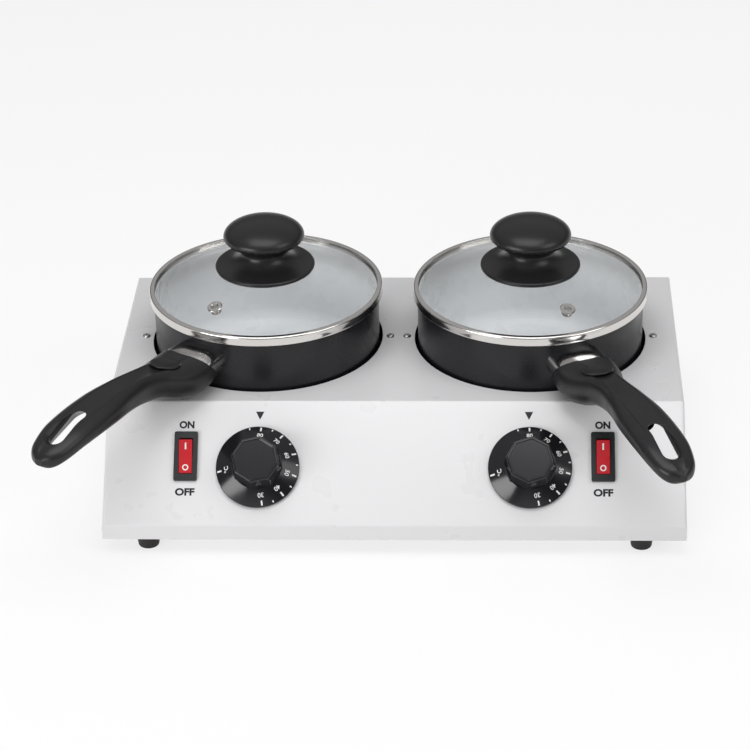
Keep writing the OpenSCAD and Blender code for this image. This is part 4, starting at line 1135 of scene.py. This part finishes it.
def rocker_signs(side: Side, ink: bpy.types.Material) -> None:
    """Prints I and O on a rocker's two faces.

    Args:
        side: Which switch.
        ink: Their material.
    """
    half, top, dip = 12.5, 4.9, 0.6
    rocker = on_panel(side.sign * SWITCH_X, SWITCH_DOWN, PIVOT_OUT).turned(ROCKER_REST, "X")
    lean = math.degrees(math.atan2(dip, half))
    shape = Shape()
    upper = rocker.moved(y=7.2, z=top - dip * (1 - 7.2 / half)).turned(lean, "X")
    add_box(shape, upper, 0.5, 2.3, 0.08)
    lower = rocker.moved(y=-7.6, z=top - dip * (1 - 7.6 / half)).turned(-lean, "X")
    a = np.linspace(0, 2 * math.pi, 48, endpoint=False)
    rings = [np.stack([r * np.cos(a), r * np.sin(a), np.full_like(a, z)], axis=1)
             for r, z in [(1.35, -0.1), (1.35, 0.08), (2.15, 0.08), (2.15, -0.1)]]
    shape.loft(np.array(rings), lower, closed=True)
    placed(shape.build(side.node("rocker_signs"), ink), side.node("switch_rocker"), "rocker_red")


def cross_screws(finish: bpy.types.Material) -> None:
    """Makes the four well screws with cross recesses.

    Args:
        finish: Their material.
    """
    shape = Shape()
    cutters = Shape()
    for side in Side:
        for end in (-1, 1):
            place = Place(np.array([side.sign * POT_X + end * WELL_SCREW_R, POT_Y, BODY_H]), np.eye(3))
            place = place.turned(20 + 35 * end + 15 * side.sign)
            head = [[0, -7], [1.85, -7], [1.85, 0], [2.8, 0], *arc(2.8 - 1.28, 0.15, 1.28, 5, 60, 6),
                    [0.9, 1.5], [0, 1.6]]
            shape.revolve(head, place, 48)
            for half_x, half_y in ((1.7, 0.32), (0.32, 1.7)):
                ring = np.array([[-half_x, -half_y], [half_x, -half_y], [half_x, half_y], [-half_x, half_y]])
                rings = [np.column_stack([ring * k, np.full(4, z)]) for k, z in ((0.5, 0.4), (1.0, 2.4))]
                cutters.loft(np.array(rings), place)
    screws = shape.build("well_screw_heads", finish)
    cut_away(screws, cutters.build("recesses", finish), 30)
    placed(screws, "housing", "zinc_screws", "well_screws")


def dress_nodes(nodes: dict[str, bpy.types.Object], finishes: Finishes) -> None:
    """Gives every CAD node its finish.

    Args:
        nodes: The CAD nodes.
        finishes: The materials.
    """
    by_word: list[tuple[str, Callable[[str], bpy.types.Material]]] = [
        ("body_cover", lambda n: finishes.enamel), ("end_panel", lambda n: finishes.enamel),
        ("base_plate", lambda n: finishes.galvanised), ("feet", lambda n: finishes.rubber),
        ("_well", lambda n: finishes.well_steel), ("heating_element", lambda n: finishes.heater),
        ("clamp_plate", lambda n: finishes.galvanised), ("insulation", lambda n: finishes.wool),
        ("heat_shield", lambda n: finishes.galvanised), ("thermostat_bulb", lambda n: finishes.brass),
        ("spindle", lambda n: finishes.brass), ("thermostat_screws", lambda n: finishes.zinc),
        ("thermal_cutout", lambda n: finishes.moulding), ("thermostat", lambda n: finishes.moulding),
        ("dial_knob", lambda n: finishes.dial),
        ("switch_housing", lambda n: finishes.switch), ("switch_terminals", lambda n: finishes.brass),
        ("rocker", lambda n: finishes.red), ("cable_gland", lambda n: finishes.moulding),
        ("terminal_block", lambda n: finishes.pale_moulding), ("earth_stud", lambda n: finishes.brass),
        ("_pot", lambda n: finishes.pots[Side.LEFT if n.startswith("left") else Side.RIGHT]),
        ("ferrule", lambda n: finishes.chrome), ("handle_bolt", lambda n: finishes.zinc),
        ("handle", lambda n: finishes.grip), ("lid_glass", lambda n: finishes.glass),
        ("lid_rim", lambda n: finishes.band), ("lid_knob", lambda n: finishes.knob),
        ("eyelet", lambda n: finishes.band), ("screw", lambda n: finishes.zinc), ("nut", lambda n: finishes.zinc),
    ]
    for name, obj in nodes.items():
        finish = next(pick(name) for word, pick in by_word if word in name)
        for slot in obj.material_slots:
            slot.link = "OBJECT"
            slot.material = finish


def add_camera() -> None:
    """Puts the camera where the photograph was taken from."""
    yaw, pitch, roll = -0.0509183, 0.501133, -0.0241332
    forward = Vector((math.sin(yaw) * math.cos(pitch), math.cos(yaw) * math.cos(pitch), -math.sin(pitch)))
    right = Vector((math.cos(yaw), -math.sin(yaw), 0.0))
    up = right.cross(forward)
    tilted_right = math.cos(roll) * right + math.sin(roll) * up
    tilted_up = -math.sin(roll) * right + math.cos(roll) * up
    data = bpy.data.cameras.new("camera")
    data.sensor_width = 36.0
    data.lens = 132.27
    data.clip_end = 20.0
    camera = bpy.data.objects.new("camera", data)
    camera.matrix_world = Matrix.Translation((0.071651, -1.72564, 1.005005)) @ Matrix(
        (tilted_right, tilted_up, -forward)).transposed().to_4x4()
    bpy.context.collection.objects.link(camera)
    bpy.context.scene.camera = camera


def add_light(name: str, azimuth: float, elevation: float, distance: float, size: tuple[float, float],
              power: float, colour: Sequence[float] = (1.0, 1.0, 1.0)) -> None:
    """Adds a softbox that faces the object.

    Args:
        name: Its name.
        azimuth: Its direction in degrees from the front, towards the right.
        elevation: Its height in degrees.
        distance: Its distance in metres.
        size: Its width and height in metres.
        power: Its power in watts.
        colour: Its colour.
    """
    data = bpy.data.lights.new(name, "AREA")
    data.shape = "RECTANGLE"
    data.size, data.size_y = size
    data.energy = power
    data.color = colour
    a, e = math.radians(azimuth), math.radians(elevation)
    towards = Vector((math.sin(a) * math.cos(e), -math.cos(a) * math.cos(e), math.sin(e)))
    light = bpy.data.objects.new(name, data)
    target = Vector((0.0, 0.0, 0.06))
    light.location = target + towards * distance
    light.rotation_euler = towards.to_track_quat("Z", "Y").to_euler()
    bpy.context.collection.objects.link(light)


def add_studio() -> None:
    """Adds the pale floor, the soft lights and the bright surroundings."""
    shape = Shape()
    half = 3000.0
    ring = np.array([[-half, -half], [half, -half], [half, half], [-half, half]])
    shape.loft(np.array([np.column_stack([ring, np.full(4, z)]) for z in (-FOOT_H - 10, -FOOT_H)]))
    mat = bpy.data.materials.new("floor")
    mat.use_nodes = True
    mat.node_tree.nodes["Principled BSDF"].inputs["Base Color"].default_value = (0.93, 0.93, 0.93, 1.0)
    mat.node_tree.nodes["Principled BSDF"].inputs["Roughness"].default_value = 0.9
    mat.node_tree.nodes["Principled BSDF"].inputs["Specular IOR Level"].default_value = 0.0
    nodes, links = mat.node_tree.nodes, mat.node_tree.links
    rays, seen, share = nodes.new("ShaderNodeLightPath"), nodes.new("ShaderNodeMath"), nodes.new("ShaderNodeMath")
    seen.operation, share.operation = "MAXIMUM", "MULTIPLY"
    share.inputs[1].default_value = PAPER_SHARE
    paper, blend = nodes.new("ShaderNodeEmission"), nodes.new("ShaderNodeMixShader")
    paper.inputs["Color"].default_value = (1.0, 1.0, 1.0, 1.0)
    links.new(rays.outputs["Is Camera Ray"], seen.inputs[0])
    links.new(rays.outputs["Is Glossy Ray"], seen.inputs[1])
    links.new(seen.outputs["Value"], share.inputs[0])
    links.new(share.outputs["Value"], blend.inputs["Fac"])
    links.new(nodes["Principled BSDF"].outputs["BSDF"], blend.inputs[1])
    links.new(paper.outputs["Emission"], blend.inputs[2])
    links.new(blend.outputs["Shader"], nodes["Material Output"].inputs["Surface"])
    shape.build("floor", mat)
    world = bpy.data.worlds.new("world")
    bpy.context.scene.world = world
    world.use_nodes = True
    nodes, links = world.node_tree.nodes, world.node_tree.links
    coords = nodes.new("ShaderNodeTexCoord")
    split = nodes.new("ShaderNodeSeparateXYZ")
    sky = nodes.new("ShaderNodeValToRGB")
    sky.color_ramp.elements[0].position, sky.color_ramp.elements[0].color = 0.0, (0.93, 0.93, 0.94, 1.0)
    sky.color_ramp.elements[1].position, sky.color_ramp.elements[1].color = 1.0, (0.8, 0.8, 0.81, 1.0)
    for height, colour in ((0.06, (0.2, 0.17, 0.15, 1.0)), (0.24, (0.12, 0.11, 0.1, 1.0)),
                           (0.42, (0.72, 0.72, 0.73, 1.0))):
        sky.color_ramp.elements.new(height).color = colour
    links.new(coords.outputs["Generated"], split.inputs["Vector"])
    links.new(split.outputs["Z"], sky.inputs["Fac"])
    links.new(sky.outputs["Color"], nodes["Background"].inputs["Color"])
    nodes["Background"].inputs["Strength"].default_value = 0.6
    add_light("key", -43, 11, 1.9, (1.15, 0.55), 15)
    add_light("top", -10, 78, 1.8, (1.6, 1.2), 16)
    add_light("right_fill", 60, 35, 2.2, (1.2, 1.0), 9)


def main() -> None:
    """Builds the scene."""
    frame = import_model()
    add_camera()
    finishes = Finishes()
    dress_nodes(frame["nodes"], finishes)
    LOG.info("Dressed %d nodes", len(frame["nodes"]))
    grip = Grip()
    for side in Side:
        grip.make(side, finishes.grip)
        grip.ferrule(side, finishes.chrome)
        Lid.glass(side, finishes.glass)
        Lid.rim(side, finishes.band)
        Lid.knob(side, finishes.knob)
        Dial(side).make(finishes.dial, finishes.white_ink)
    panel_marks(finishes)
    cross_screws(finishes.zinc)
    add_studio()
    bpy.context.scene.view_settings.view_transform = "Standard"


if __name__ == "__main__":
    logging.basicConfig(level=logging.INFO)
    main()
